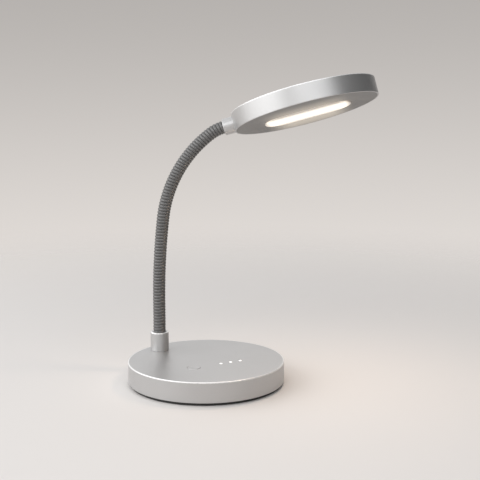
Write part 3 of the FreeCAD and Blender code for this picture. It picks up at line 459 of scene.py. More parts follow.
class Effects:
    """The effects that several finishes share, each a node group that is built once."""

    def __init__(self) -> None:
        """Build every group."""
        self.grain = self._grain()
        self.smudge = self._smudge()
        self.rim_rub_and_highlight = self._rim_rub_and_highlight()
        self.window = self._window()

    @staticmethod
    def _group(name: str, inputs: Sockets, outputs: Sequence[tuple[str, str]]) -> tuple[Graph, Node, Node]:
        """Start a group.

        Args:
            name: The group's name.
            inputs: Name, socket type and default of each input.
            outputs: Name and socket type of each output.

        Returns:
            The group's graph, its input node and its output node.
        """
        tree = bpy.data.node_groups.new(name, "ShaderNodeTree")
        for label, kind, default in inputs:
            socket = tree.interface.new_socket(name=label, in_out="INPUT", socket_type=kind)
            socket.default_value = default
        for label, kind in outputs:
            tree.interface.new_socket(name=label, in_out="OUTPUT", socket_type=kind)
        graph = Graph(tree)
        return graph, graph.add("NodeGroupInput"), graph.add("NodeGroupOutput")

    def _grain(self) -> NodeTree:
        """Fine blasted or moulded grain: a colour, a roughness and a normal."""
        graph, given, result = self._group(
            "surface_grain",
            [
                ("Colour", "NodeSocketColor", (0.5, 0.5, 0.5, 1.0)),
                ("Speck Colour", "NodeSocketColor", (0.4, 0.4, 0.4, 1.0)),
                ("Grain Scale", "NodeSocketFloat", 2500.0),
                ("Roughness", "NodeSocketFloat", 0.4),
                ("Roughness Spread", "NodeSocketFloat", 0.06),
                ("Depth", "NodeSocketFloat", 0.00002),
            ],
            [
                ("Colour", "NodeSocketColor"),
                ("Roughness", "NodeSocketFloat"),
                ("Normal", "NodeSocketVector"),
            ],
        )
        place_on = graph.object_place
        fine = graph.noise(place_on, given.outputs["Grain Scale"], detail=2.0)
        broad = graph.noise(place_on, 22.0, detail=3.0)
        both = graph.math("ADD", graph.math("MULTIPLY", fine, 0.7), graph.math("MULTIPLY", broad, 0.3))
        speck = graph.spread(both, 0.38, 0.62, 0.0, 1.0)
        colour = graph.mix(speck, given.outputs["Colour"], given.outputs["Speck Colour"])
        drift = graph.math("MULTIPLY", graph.math("SUBTRACT", both, 0.5), given.outputs["Roughness Spread"])
        rough = graph.math("ADD", given.outputs["Roughness"], graph.math("MULTIPLY", drift, 4.0))
        normal = graph.add(
            "ShaderNodeBump", {"Strength": 1.0, "Distance": given.outputs["Depth"], "Height": fine}
        ).outputs["Normal"]
        graph.feed(result, {"Colour": colour, "Roughness": rough, "Normal": normal})
        return graph.tree

    def _smudge(self) -> NodeTree:
        """Faint marks of handling that make a surface a little rougher: a changed roughness."""
        graph, given, result = self._group(
            "handling_marks",
            [("Roughness", "NodeSocketFloat", 0.4), ("Amount", "NodeSocketFloat", 0.05)],
            [("Roughness", "NodeSocketFloat")],
        )
        cloud = graph.noise(graph.object_place, 34.0, detail=5.0, distortion=0.6)
        patch = graph.spread(cloud, 0.5, 0.72, 0.0, 1.0)
        more = graph.math("MULTIPLY", patch, given.outputs["Amount"])
        graph.feed(result, {"Roughness": graph.math("ADD", given.outputs["Roughness"], more)})
        return graph.tree

    def _rim_rub_and_highlight(self) -> NodeTree:
        """A mask of light wear and a painted highlight along a round rim, from the rim's radius and height
        about Z.
        """
        graph, given, result = self._group(
            "rim_wear_and_highlight",
            [
                ("Vector", "NodeSocketVector", (0.0, 0.0, 0.0)),
                ("Rim Radius", "NodeSocketFloat", 0.075),
                ("Rim Height", "NodeSocketFloat", 0.02),
                ("Width", "NodeSocketFloat", 0.0012),
            ],
            [("Mask", "NodeSocketFloat")],
        )
        parts = graph.add("ShaderNodeSeparateXYZ", {0: given.outputs["Vector"]})

        def length(first: NodeSocket, second: NodeSocket) -> NodeSocket:
            """Length of the diagonal of two sides."""
            squares = [graph.math("POWER", side, 2.0) for side in (first, second)]
            return graph.math("SQRT", graph.math("ADD", *squares))

        radius = length(parts.outputs[0], parts.outputs[1])
        off_radius = graph.math("SUBTRACT", radius, given.outputs["Rim Radius"])
        off_height = graph.math("SUBTRACT", parts.outputs[2], given.outputs["Rim Height"])
        near = graph.math("DIVIDE", length(off_radius, off_height), given.outputs["Width"])
        noise = graph.noise(given.outputs["Vector"], 900.0, detail=3.0)
        worn_and_highlight = graph.math("ADD", near, graph.math("MULTIPLY", noise, 0.8))
        graph.feed(result, {"Mask": graph.spread(worn_and_highlight, 0.5, 1.5, 1.0, 0.0)})
        return graph.tree

    def _window(self) -> NodeTree:
        """A mask that is full over the middle of the light window and fades along and across it."""
        graph, given, result = self._group(
            "window_fade",
            [
                ("Vector", "NodeSocketVector", (0.0, 0.0, 0.0)),
                *((label, "NodeSocketFloat", 0.02) for label in Glow.labels),
            ],
            [("Mask", "NodeSocketFloat")],
        )
        parts = graph.add("ShaderNodeSeparateXYZ", {0: given.outputs["Vector"]})
        along = graph.math("ABSOLUTE", parts.outputs[0])
        across = graph.math("ABSOLUTE", graph.math("SUBTRACT", parts.outputs[1], given.outputs["Shift"]))
        masks = []
        for off, way in ((along, "Length"), (across, "Width")):
            inner, outer = given.outputs[f"Inner {way}"], given.outputs[f"Outer {way}"]
            masks.append(graph.spread(off, inner, outer, 1.0, 0.0))
        graph.feed(result, {"Mask": graph.math("MULTIPLY", *masks)})
        return graph.tree


def in_frame(graph: Graph, where: Matrix | None) -> NodeSocket:
    """Object coordinates, turned into the frame of the piece that a pattern belongs to.

    Args:
        graph: The material's nodes.
        where: The piece's frame, or nothing for the lamp's own.

    Returns:
        The coordinates.
    """
    if where is None:
        return graph.object_place
    inputs = {
        "Vector": graph.object_place,
        "Location": where.to_translation(),
        "Rotation": where.to_euler(),
    }
    return graph.add("ShaderNodeMapping", inputs, vector_type="TEXTURE").outputs[0]


@dataclass(frozen=True)
class Glow:
    """Light that a surface gives off, strongest over the middle of the light window. On the lens and the
    dots it is the lamp's own light; on the grey plate it is painted light spilled from the lens.
    """

    middle: Colour
    edge: Colour
    strength: float
    length: Steps = (1.0, 2.0)
    width: Steps = (1.0, 2.0)
    shift: float = 0.0
    place: Matrix | None = None
    labels: ClassVar[tuple[str, ...]] = (
        "Inner Length", "Outer Length", "Inner Width", "Outer Width", "Shift",
    )

    def join(self, graph: Graph, effects: Effects, shader: Node) -> None:
        """Feed the shader's emission.

        Args:
            graph: The material's nodes.
            effects: The shared node groups.
            shader: The Principled shader.
        """
        inputs = dict(zip(self.labels, (*self.length, *self.width, self.shift)))
        inputs["Vector"] = in_frame(graph, self.place)
        mask = graph.add("ShaderNodeGroup", inputs, node_tree=effects.window).outputs["Mask"]
        colour = graph.mix(mask, rgba(self.edge), rgba(self.middle))
        graph.feed(shader, {"Emission Color": colour, "Emission Strength": self.strength})


@dataclass(frozen=True)
class Rim:
    """A round rim that shows a little wear and a painted highlight, in the frame of the piece that it is
    on.
    """

    radius: float
    height: float
    place: Matrix | None = None


@dataclass(frozen=True)
class Finish:
    """A surface: its colours, how metallic and rough it is, its grain and what it gives off."""

    name: str
    colour: Colour
    speck: Colour
    roughness: float
    metallic: float = 0.0
    spread: float = 0.05
    grain_scale: float = 2500.0
    depth: float = 0.00001
    handling: float = 0.0
    worn_and_highlight: Colour | None = None
    rims: tuple[Rim, ...] = ()
    coat: float = 0.0
    glow: Glow | None = None

    def build(self, effects: Effects) -> Material:
        """Make the material.

        Args:
            effects: The shared node groups.

        Returns:
            A material that reads Object coordinates alone.
        """
        material, graph, shader = new_material(self.name)
        shader.inputs["Metallic"].default_value = self.metallic
        shader.inputs["Coat Weight"].default_value = self.coat
        inputs = {
            "Colour": rgba(self.colour),
            "Speck Colour": rgba(self.speck),
            "Grain Scale": self.grain_scale,
            "Roughness": self.roughness,
            "Roughness Spread": self.spread,
            "Depth": self.depth,
        }
        grain = graph.add("ShaderNodeGroup", inputs, node_tree=effects.grain)
        colour, rough = grain.outputs["Colour"], grain.outputs["Roughness"]
        if self.handling:
            inputs = {"Amount": self.handling, "Roughness": rough}
            rough = graph.add("ShaderNodeGroup", inputs, node_tree=effects.smudge).outputs[0]
        # Each rim gets a lighter colour: a little wear and a painted highlight along the rim.
        for rim in self.rims:
            worn_and_highlight = rgba(self.worn_and_highlight or self.colour)
            colour = graph.mix(self._rim_mask(graph, effects, rim), colour, worn_and_highlight)
        graph.feed(shader, {"Base Color": colour, "Roughness": rough, "Normal": grain.outputs["Normal"]})
        if self.glow is not None:
            self.glow.join(graph, effects, shader)
        return material

    @staticmethod
    def _rim_mask(graph: Graph, effects: Effects, rim: Rim) -> NodeSocket:
        """The mask of wear and painted highlight on one rim."""
        where = in_frame(graph, rim.place)
        inputs = {"Rim Radius": rim.radius, "Rim Height": rim.height, "Vector": where}
        return graph.add("ShaderNodeGroup", inputs, node_tree=effects.rim_rub_and_highlight).outputs["Mask"]


# ---------------------------------------------------------------- the lamp's layout

@dataclass(frozen=True)
class Layout:
    """The places that several sub-assemblies share."""

    base_radius: float = 75.0 * MM
    base_top: float = 22.4 * MM
    neck_foot: Vector = field(default_factory=lambda: Vector((-24.0, 54.5, 30.0)) * MM)
    neck_heading: float = math.radians(-36.0)
    neck_length: float = 246.0 * MM
    head_seat: float = 8.4 * MM
    head_socket_length: float = 9.9 * MM
    head_radius: float = 69.7 * MM
    head_roll: float = math.radians(-9.5)
    window_shift: float = 1.0 * MM
    bends: tuple[tuple[float, float], ...] = (
        (700.0 * MM, math.radians(6.8)),
        (122.0 * MM, math.radians(45.6)),
        (39.7 * MM, math.radians(22.2)),
    )

    @property
    def rise(self) -> float:
        """Length of the neck's straight lower stretch."""
        return self.neck_length - self.head_seat - sum(radius * angle for radius, angle in self.bends)

    def neck_place(self, length: float) -> tuple[Vector, float]:
        """Point and lean of the neck's line, in the neck's own upright plane.

        Args:
            length: Distance along the neck from its lower end.

        Returns:
            The point, with X forwards and Z up, and the tangent's angle from level.
        """
        point = Vector((0.0, 0.0, min(length, self.rise)))
        lean = math.pi / 2
        left = length - self.rise
        for radius, angle in self.bends:
            if left <= 0:
                break
            turn = min(angle, left / radius)
            across = radius * (math.sin(lean) - math.sin(lean - turn))
            point = point + Vector((across, 0.0, radius * (math.cos(lean - turn) - math.cos(lean))))
            lean -= turn
            left -= turn * radius
        if left > 1e-9:
            point = point + Vector((math.cos(lean), 0.0, math.sin(lean))) * left
        return point, lean

    @property
    def neck_frame(self) -> Matrix:
        """Where the neck's own upright plane is."""
        return Matrix.Translation(self.neck_foot) @ Matrix.Rotation(self.neck_heading, 4, "Z")

    def neck_point(self, length: float) -> Vector:
        """A point of the neck's line in the lamp's frame."""
        return self.neck_frame @ self.neck_place(length)[0]

    @property
    def head_frame(self) -> Matrix:
        """Where the head's own frame is: X outwards, Z up through the lid, origin at its middle."""
        reach = self.neck_length - self.head_seat + self.head_socket_length + self.head_radius
        point, lean = self.neck_place(reach)
        turn = Matrix.Rotation(-lean, 4, "Y") @ Matrix.Rotation(self.head_roll, 4, "X")
        return self.neck_frame @ Matrix.Translation(point) @ turn

    @property
    def window_frame(self) -> Matrix:
        """The head's frame, moved to the middle of the light window."""
        return self.head_frame @ Matrix.Translation((self.window_shift, 0.0, 0.0))


class FinishBook:
    """Every finish of the lamp, made once and looked up by the record's slot."""

    def __init__(self, effects: Effects, layout: Layout) -> None:
        """Build every material.

        Args:
            effects: The shared node groups.
            layout: The lamp's shared places.
        """
        # Rims where the silver turns lighter: light wear and a painted highlight.
        base_rim = Rim(layout.base_radius - 0.2 * MM, layout.base_top - 0.2 * MM)
        head_rim = Rim(layout.head_radius, 8.5 * MM, layout.head_frame)
        collar_rim = Rim(8.5 * MM, 41.1 * MM, spot(layout.neck_foot.x, layout.neck_foot.y))
        lit = Glow(
            middle=(1.0, 0.86, 0.70), edge=(0.12, 0.085, 0.05), strength=0.8, length=(36.0 * MM, 42.0 * MM),
            width=(12.0 * MM, 25.5 * MM), place=layout.window_frame,
        )
        # Painted light: a warm glow on the grey plate around the window, shifted to its far side, for light
        # from the lens that spills onto the plate.
        painted_spill = Glow(
            middle=(1.0, 0.87, 0.70), edge=(0.0, 0.0, 0.0), strength=0.36, length=(18.0 * MM, 46.0 * MM),
            width=(22.0 * MM, 82.0 * MM), shift=16.0 * MM, place=layout.window_frame,
        )
        finishes = (
            # The lighter rim colour of the silver is wear and a painted highlight.
            Finish("satin_silver", (0.53, 0.525, 0.522), (0.50, 0.496, 0.492), 0.40, metallic=0.8,
                   spread=0.03, grain_scale=3200.0, depth=0.000004, handling=0.02,
                   worn_and_highlight=(0.92, 0.915, 0.91), rims=(base_rim, head_rim, collar_rim)),
            Finish("neck_steel", (0.16, 0.157, 0.154), (0.125, 0.123, 0.121), 0.40, metallic=0.55,
                   spread=0.05, grain_scale=1800.0, depth=0.000008, handling=0.05),
            Finish("black_lead", (0.02, 0.02, 0.021), (0.03, 0.03, 0.031), 0.55),
            # The grey plate carries painted light spilled from the lens.
            Finish("grey_plate", (0.255, 0.247, 0.24), (0.235, 0.228, 0.221), 0.6, spread=0.05,
                   grain_scale=2800.0, depth=0.00001, handling=0.03, glow=painted_spill),
            Finish("opal_lens", (0.78, 0.765, 0.74), (0.76, 0.745, 0.72), 0.35, spread=0.02,
                   grain_scale=900.0, depth=0.000003, glow=lit),
            Finish("clear_pipe", (0.85, 0.85, 0.84), (0.82, 0.82, 0.81), 0.2,
                   glow=Glow((1.0, 0.985, 0.96), (1.0, 0.985, 0.96), 1.4)),
            Finish("dark_rubber", (0.022, 0.021, 0.02), (0.034, 0.033, 0.032), 0.72, spread=0.1,
                   grain_scale=1600.0, depth=0.00003),
            Finish("plain_steel", (0.5, 0.5, 0.5), (0.42, 0.42, 0.42), 0.32, metallic=1.0),
            Finish("black_plate", (0.03, 0.03, 0.03), (0.045, 0.045, 0.045), 0.5, spread=0.08,
                   grain_scale=1400.0, depth=0.00002),
            Finish("green_board", (0.02, 0.16, 0.06), (0.015, 0.11, 0.045), 0.35, coat=0.5),
            Finish("white_plastic", (0.8, 0.79, 0.77), (0.76, 0.75, 0.73), 0.45),
            Finish("led_yellow", (0.85, 0.62, 0.16), (0.8, 0.56, 0.12), 0.4),
            Finish("raw_aluminium", (0.68, 0.68, 0.69), (0.6, 0.6, 0.61), 0.38, metallic=1.0),
            Finish("grey_pad", (0.3, 0.31, 0.33), (0.26, 0.27, 0.29), 0.8),
            Finish("battery_wrap", (0.03, 0.08, 0.2), (0.025, 0.065, 0.17), 0.3, coat=0.3),
            Finish("foam_pad", (0.03, 0.03, 0.03), (0.06, 0.06, 0.06), 0.9,
                   grain_scale=900.0, depth=0.0001),
            Finish("red_lead", (0.45, 0.02, 0.015), (0.38, 0.017, 0.012), 0.5),
            Finish("ribbon_grey", (0.42, 0.44, 0.46), (0.36, 0.38, 0.4), 0.5),
            Finish("black_plastic", (0.02, 0.02, 0.02), (0.032, 0.032, 0.032), 0.5),
        )
        self._made = {finish.name: finish.build(effects) for finish in finishes}

    def __getitem__(self, slot: str) -> Material:
        """The material of a slot."""
        return self._made[slot]


# ---------------------------------------------------------------- the base

@dataclass
class LampBase:
    """The round base: cover, foot pad, push button, light dots and the collar that holds the neck."""

    layout: Layout
    book: FinishBook
    cover_wall: float = 1.5 * MM
    cover_low: float = 3.0 * MM
    rim_round: float = 0.6 * MM
    controls_y: float = -19.0 * MM
    button_x: float = -22.8 * MM
    button_radius: float = 6.0 * MM
    button_gap: float = 0.25 * MM
    button_proud: float = 0.1 * MM
    dot_xs: tuple[float, ...] = (6.0 * MM, 16.4 * MM, 26.8 * MM)
    dot_radius: float = 1.4 * MM
    hole_chamfer: float = 0.12 * MM
    stem_hole: float = 5.05 * MM
    port_size: Steps = (9.34 * MM, 3.6 * MM)
    port_height: float = 12.8 * MM
    pad_radius: float = 72.5 * MM
    pad_height: float = 3.6 * MM
    groove_rings: tuple[float, ...] = (18.0 * MM, 34.0 * MM, 50.0 * MM, 64.0 * MM)
    groove_depth: float = 0.35 * MM
    collar_radius: float = 9.05 * MM
    collar_height: float = 18.8 * MM
    collar_chamfer: float = 0.8 * MM

    def build(self) -> None:
        """Make every piece of the base."""
        self._cover()
        self._foot_pad()
        self._button()
        self._dome()
        self._dots()
        self._collar()

    def _cover(self) -> None:
        """The silver cover, with a rounded rim and openings for button, dots and charging plug."""
        outer, top, edge = self.layout.base_radius, self.layout.base_top, self.rim_round
        inner = outer - self.cover_wall
        hold = 0.4 * MM
        low_edge = 0.25 * MM
        section = [
            (outer - edge - hold, top),
            *rounded(outer - edge, top - edge, edge, 90.0, 6),
            (outer, top - edge - hold),
            (outer, self.cover_low + low_edge + hold),
            *rounded(outer - low_edge, self.cover_low + low_edge, low_edge, 0.0, 3),
            (inner, self.cover_low),
            (inner, top - self.cover_wall),
        ]
        cover = turned("base_cover", section, 160)
        neck, row = self.layout.neck_foot, self.controls_y
        cutters = [
            self._hole(self.button_x, row, self.button_radius + self.button_gap, self.hole_chamfer, 72),
            self._hole(neck.x, neck.y, self.stem_hole, 0.0, 32),
            *(self._hole(x, row, self.dot_radius, self.hole_chamfer, 32) for x in self.dot_xs),
            self._port_cutter(),
        ]
        smooth(cut_away(cover, *cutters))
        dress(cover, self.book, "satin_silver", "base", "base_shell")

    def _hole(self, x: float, y: float, radius: float, chamfer: float, steps: int) -> Object:
        """A cutter for a round hole in the cover's top.

        Args:
            x: The hole's place along X.
            y: The hole's place along Y.
            radius: The hole's radius.
            chamfer: How much its mouth is broken.
            steps: How many corners it has.

        Returns:
            The cutter in place.
        """
        top = self.layout.base_top
        section = [
            (radius, top - 4.0 * MM),
            (radius, top - chamfer),
            (radius + 1.0 * MM, top - chamfer + 1.0 * MM),
        ]
        return place(turned("hole_cutter", section, steps), spot(x, y))

    def _port_cutter(self) -> Object:
        """A cutter for the round-ended charging opening in the rear wall."""
        block = round_ended("port_cutter", *self.port_size, 0.0, 6.0 * MM)
        return place(block, spot(0.0, self.layout.base_radius + 1.0 * MM, self.port_height, 90.0, "X"))

    def _foot_pad(self) -> None:
        """The rubber pad, with a rounded edge and shallow grooves on the face that it stands on."""
        radius, groove = self.pad_radius, self.groove_depth
        section = [(6.0 * MM, 0.0)]
        for at in self.groove_rings:
            section += [(at, 0.0), (at + 0.5 * MM, groove), (at + 1.5 * MM, groove), (at + 2.0 * MM, 0.0)]
        edge = 0.5 * MM
        section += [(radius - edge - 0.2 * MM, 0.0)]
        section += list(reversed(rounded(radius - edge, edge, edge, 0.0, 4)))
        section += [(radius, self.pad_height)]
        pad = smooth(turned("foot_pad_moulded", section, 160))
        dress(pad, self.book, "dark_rubber", "base", "foot_pad")

    def _button(self) -> None:
        """The push button: a flanged cap with a softly dished top."""
        top = self.layout.base_top + self.button_proud
        edge = 0.3 * MM
        flange_low = top - 2.55 * MM
        section = [
            (0.8 * MM, top - 0.16 * MM),
            (3.0 * MM, top - 0.13 * MM),
            (4.6 * MM, top - 0.05 * MM),
            (self.button_radius - edge - 0.25 * MM, top),
            *rounded(self.button_radius - edge, top - edge, edge, 90.0, 4),
            (self.button_radius, flange_low + 0.8 * MM),
            (self.button_radius + 1.2 * MM, flange_low + 0.8 * MM),
            (self.button_radius + 1.2 * MM, flange_low),
        ]
        cap = turned("button_cap_dished", section, 72)
        smooth(place(cap, spot(self.button_x, self.controls_y)))
        dress(cap, self.book, "satin_silver", "button", "button_cap")

    def _dome(self) -> None:
        """The switch's sprung dome, which in the real switch flattens as the button goes down; here it
        keeps its rest shape.
        """
        low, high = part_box("switch_dome")
        radius, thick = (high.x - low.x) / 2, 0.15 * MM
        section = [
            (radius - thick, low.z),
            (radius, low.z),
            (radius * 0.4, high.z),
            (0.1 * MM, high.z),
            (0.1 * MM, high.z - thick),
            (radius * 0.4 - thick / 2, high.z - thick),
            (radius - thick, low.z),
        ]
        dome = turned("sprung_dome", section, 32)
        smooth(place(dome, spot(self.button_x, self.controls_y)))
        dress(dome, self.book, "plain_steel", "base", "switch_dome")
        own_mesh(dome)

    def _dots(self) -> None:
        """The three lit dots: clear pipes with domed ends."""
        low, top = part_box("light_pipes")[0].z, self.layout.base_top
        section = [
            (0.4 * MM, top - 0.01 * MM),
            (0.8 * MM, top - 0.04 * MM),
            (1.15 * MM, top - 0.11 * MM),
            (self.dot_radius - 0.03 * MM, top - 0.24 * MM),
            (self.dot_radius - 0.03 * MM, top - self.cover_wall),
            (self.dot_radius + 0.8 * MM, top - self.cover_wall),
            (self.dot_radius + 0.8 * MM, top - self.cover_wall - 1.0 * MM),
            (self.dot_radius, top - self.cover_wall - 1.0 * MM),
            (self.dot_radius, low),
        ]
        first = turned("dot", section, 32)
        pipes = [place(copied(first), spot(x, self.controls_y)) for x in self.dot_xs]
        bpy.data.objects.remove(first, do_unlink=True)
        lights = smooth(joined("indicator_dots", pipes))
        dress(lights, self.book, "clear_pipe", "base", "light_pipes")

    def _collar(self) -> None:
        """The collar on the base, with a chamfered mouth, a shadow groove at its foot and its stem."""
        low, high = self.layout.base_top, self.layout.base_top + self.collar_height
        radius, chamfer = self.collar_radius, self.collar_chamfer
        bore, stem = 6.25 * MM, 5.0 * MM
        section = [
            (bore, high),
            (radius - chamfer, high),
            (radius - chamfer * 0.35, high - chamfer * 0.3),
            (radius, high - chamfer),
            (radius, high - chamfer - 0.3 * MM),
            (radius, low + 0.5 * MM),
            (radius - 0.25 * MM, low + 0.25 * MM),
            (radius - 0.25 * MM, low),
            (stem, low),
            (stem, low - 7.4 * MM),
            (2.8 * MM, low - 7.4 * MM),
            (2.8 * MM, self.layout.neck_foot.z),
            (bore, self.layout.neck_foot.z),
            (bore, high),
        ]
        collar = turned("base_collar", section, 80)
        foot = self.layout.neck_foot
        place(collar, spot(foot.x, foot.y))
        tap = turned("tap_cutter", [(1.55 * MM, 0.0), (1.55 * MM, 12.0 * MM)], 24)
        cut_away(collar, place(tap, spot(*(foot + Vector((0.0, 0.0, 5.6 * MM))), -90.0, "X")))
        smooth(collar)
        dress(collar, self.book, "satin_silver", "base", "neck_socket")


# ---------------------------------------------------------------- the gooseneck

@dataclass
class Gooseneck:
    """The wound neck: one helix of ribs, cut into stretches along its line."""

    layout: Layout
    book: FinishBook
    crest: float = 6.2 * MM
    root: float = 5.45 * MM
    pitch: float = 3.0 * MM
    wall: float = 0.7 * MM
    link_count: int = 12
    end_link: float = 33.0 * MM
    link: float = 18.0 * MM
    reach: float = 9.0 * MM
    steps: int = 36

    def build(self) -> None:
        """Make the neck's stretches."""
        helix = self._helix()
        path = self._path()
        joints = [self.end_link + self.link * index for index in range(self.link_count - 1)]
        cuts = [0.0, *(at - self.reach for at in joints), joints[-1] + self.reach, self.layout.neck_length]
        bodies = ["base", *(f"neck_{index:02d}" for index in range(2, self.link_count)), "head"]
        for index, (low, high) in enumerate(zip(cuts, cuts[1:])):
            stretch = self._stretch(helix, path, f"neck_stretch_{index:02d}", low, high)
            if index == 0:
                dress(stretch, self.book, "neck_steel", "base", "neck_link_01")
            elif index == len(cuts) - 2:
                dress(stretch, self.book, "neck_steel", "head", f"neck_link_{self.link_count:02d}")
            else:
                self._bending(stretch, joints[index - 1], bodies[index - 1], bodies[index], index)
        bpy.data.objects.remove(helix, do_unlink=True)
        bpy.data.objects.remove(path, do_unlink=True)

    def _bending(self, stretch: Object, joint: float, lower: str, upper: str, index: int) -> None:
        """Dress a stretch that spans one joint.

        Args:
            stretch: The finished stretch.
            joint: Length along the neck at the joint.
            lower: The body below the joint.
            upper: The body above it.
            index: The joint's number, from 1.
        """
        paint(stretch, self.book, "neck_steel")
        margin = self.reach * 0.85
        start, end = self.layout.neck_point(joint - margin), self.layout.neck_point(joint + margin)
        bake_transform(stretch)
        link = min(index + 1, self.link_count - 1)
        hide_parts(f"neck_link_{link:02d}")
        log.info("%s bends between %s and %s", stretch.name, lower, upper)

    def _helix(self) -> Object:
        """The straight wound tube, an open skin with a rounded rib to each turn.

        Returns:
            The skin about Z, with a turn to spare at each end.
        """
        half = [(0.0, 0.0), (0.07, 0.28), (0.16, 0.68), (0.28, 0.92), (0.42, 1.0)]
        profile = [*half, (0.58, 1.0), (0.72, 0.92), (0.84, 0.68), (0.93, 0.28), (1.0, 0.0)]
        clear_selection()
        bpy.ops.mesh.primitive_plane_add(size=self.pitch, location=(0.0, 0.0, 0.0))
        helix = bpy.context.object
        helix.name = helix.data.name = "neck_helix"
        bpy.ops.object.mode_set(mode="EDIT")
        pick(helix, "VERT", lambda vert: vert.co.x > 0 or vert.co.y > 0)
        bpy.ops.mesh.delete(type="VERT")
        bpy.ops.mesh.select_all(action="SELECT")
        at = Vector((-self.pitch / 2, -self.pitch / 2, 0.0))
        for index, (along, swell) in enumerate(profile):
            to = Vector((self.root + swell * (self.crest - self.root), 0.0, (along - 1.0) * self.pitch))
            if index == 0:
                bpy.ops.transform.translate(value=to - at)
            else:
                bpy.ops.mesh.extrude_vertices_move(TRANSFORM_OT_translate={"value": to - at})
            at = to
        bpy.ops.object.mode_set(mode="OBJECT")
        modified(
            helix,
            "SCREW",
            axis="Z",
            screw_offset=self.pitch,
            iterations=round(self.layout.neck_length / self.pitch) + 2,
            steps=self.steps,
            render_steps=self.steps,
            use_merge_vertices=True,
            merge_threshold=SAME,
            use_smooth_shade=True,
        )
        with editing(helix):
            bpy.ops.mesh.select_mode(type="VERT")
            bpy.ops.mesh.select_all(action="SELECT")
            bpy.ops.mesh.remove_doubles(threshold=MERGE)
            bpy.ops.mesh.normals_make_consistent(inside=False)
        return helix

    def _path(self) -> Object:
        """The neck's line as a Bezier curve whose handles follow its arcs.

        Returns:
            The curve object, in the neck's own upright plane.
        """
        lengths, total = [0.0, self.layout.rise], self.layout.rise
        for radius, angle in self.layout.bends:
            total += radius * angle
            lengths.append(total)
        lengths.append(self.layout.neck_length)
        clear_selection()
        bpy.ops.curve.primitive_bezier_curve_add(location=(0.0, 0.0, 0.0))
        path = bpy.context.object
        path.name = "neck_path"
        spline = path.data.splines[0]
        spline.bezier_points.add(len(lengths) - 2)
        arcs = [0.0, *(angle for _, angle in self.layout.bends), 0.0]
        for index, (length, knot) in enumerate(zip(lengths, spline.bezier_points)):
            point, lean = self.layout.neck_place(length)
            along = Vector((math.cos(lean), 0.0, math.sin(lean)))
            knot.handle_left_type = knot.handle_right_type = "FREE"
            knot.co = point
            before = self._handle(lengths, arcs, index - 1)
            after = self._handle(lengths, arcs, index)
            knot.handle_left = point - along * before
            knot.handle_right = point + along * after
        spline.resolution_u = 96
        path.data.twist_mode = "MINIMUM"
        path.data.use_stretch = False
        return path

    @staticmethod
    def _handle(lengths: Sequence[float], arcs: Sequence[float], span: int) -> float:
        """How long a Bezier handle is for one span of the neck.

        Args:
            lengths: Length along the neck at each knot.
            arcs: The angle that each span turns by.
            span: The span's number.

        Returns:
            The handle's length.
        """
        if not 0 <= span < len(arcs):
            return 0.01
        length, angle = lengths[span + 1] - lengths[span], arcs[span]
        if angle < SAME:
            return length / 3
        return 4 / 3 * math.tan(angle / 4) * length / angle

    def _stretch(self, helix: Object, path: Object, name: str, low: float, high: float) -> Object:
        """Cut one stretch off the helix, bend it along the neck and give its wall a thickness.

        Args:
            helix: The straight skin.
            path: The neck's line.
            name: The stretch's name.
            low: Length along the neck where it starts.
            high: Length where it ends.

        Returns:
            The closed stretch, in place.
        """
        stretch = copied(helix)
        stretch.name = stretch.data.name = name
        with editing(stretch):
            for height, lower in ((low, True), (high, False)):
                bpy.ops.mesh.select_all(action="SELECT")
                bpy.ops.mesh.bisect(
                    plane_co=(0.0, 0.0, height),
                    plane_no=(0.0, 0.0, 1.0),
                    clear_inner=lower,
                    clear_outer=not lower,
                    threshold=1e-7,
                )
        modified(stretch, "SOLIDIFY", thickness=self.wall, offset=-1.0)
        modified(stretch, "CURVE", object=path, deform_axis="POS_Z")
        return smooth(place(stretch, self.layout.neck_frame), 50.0)


# ---------------------------------------------------------------- the head

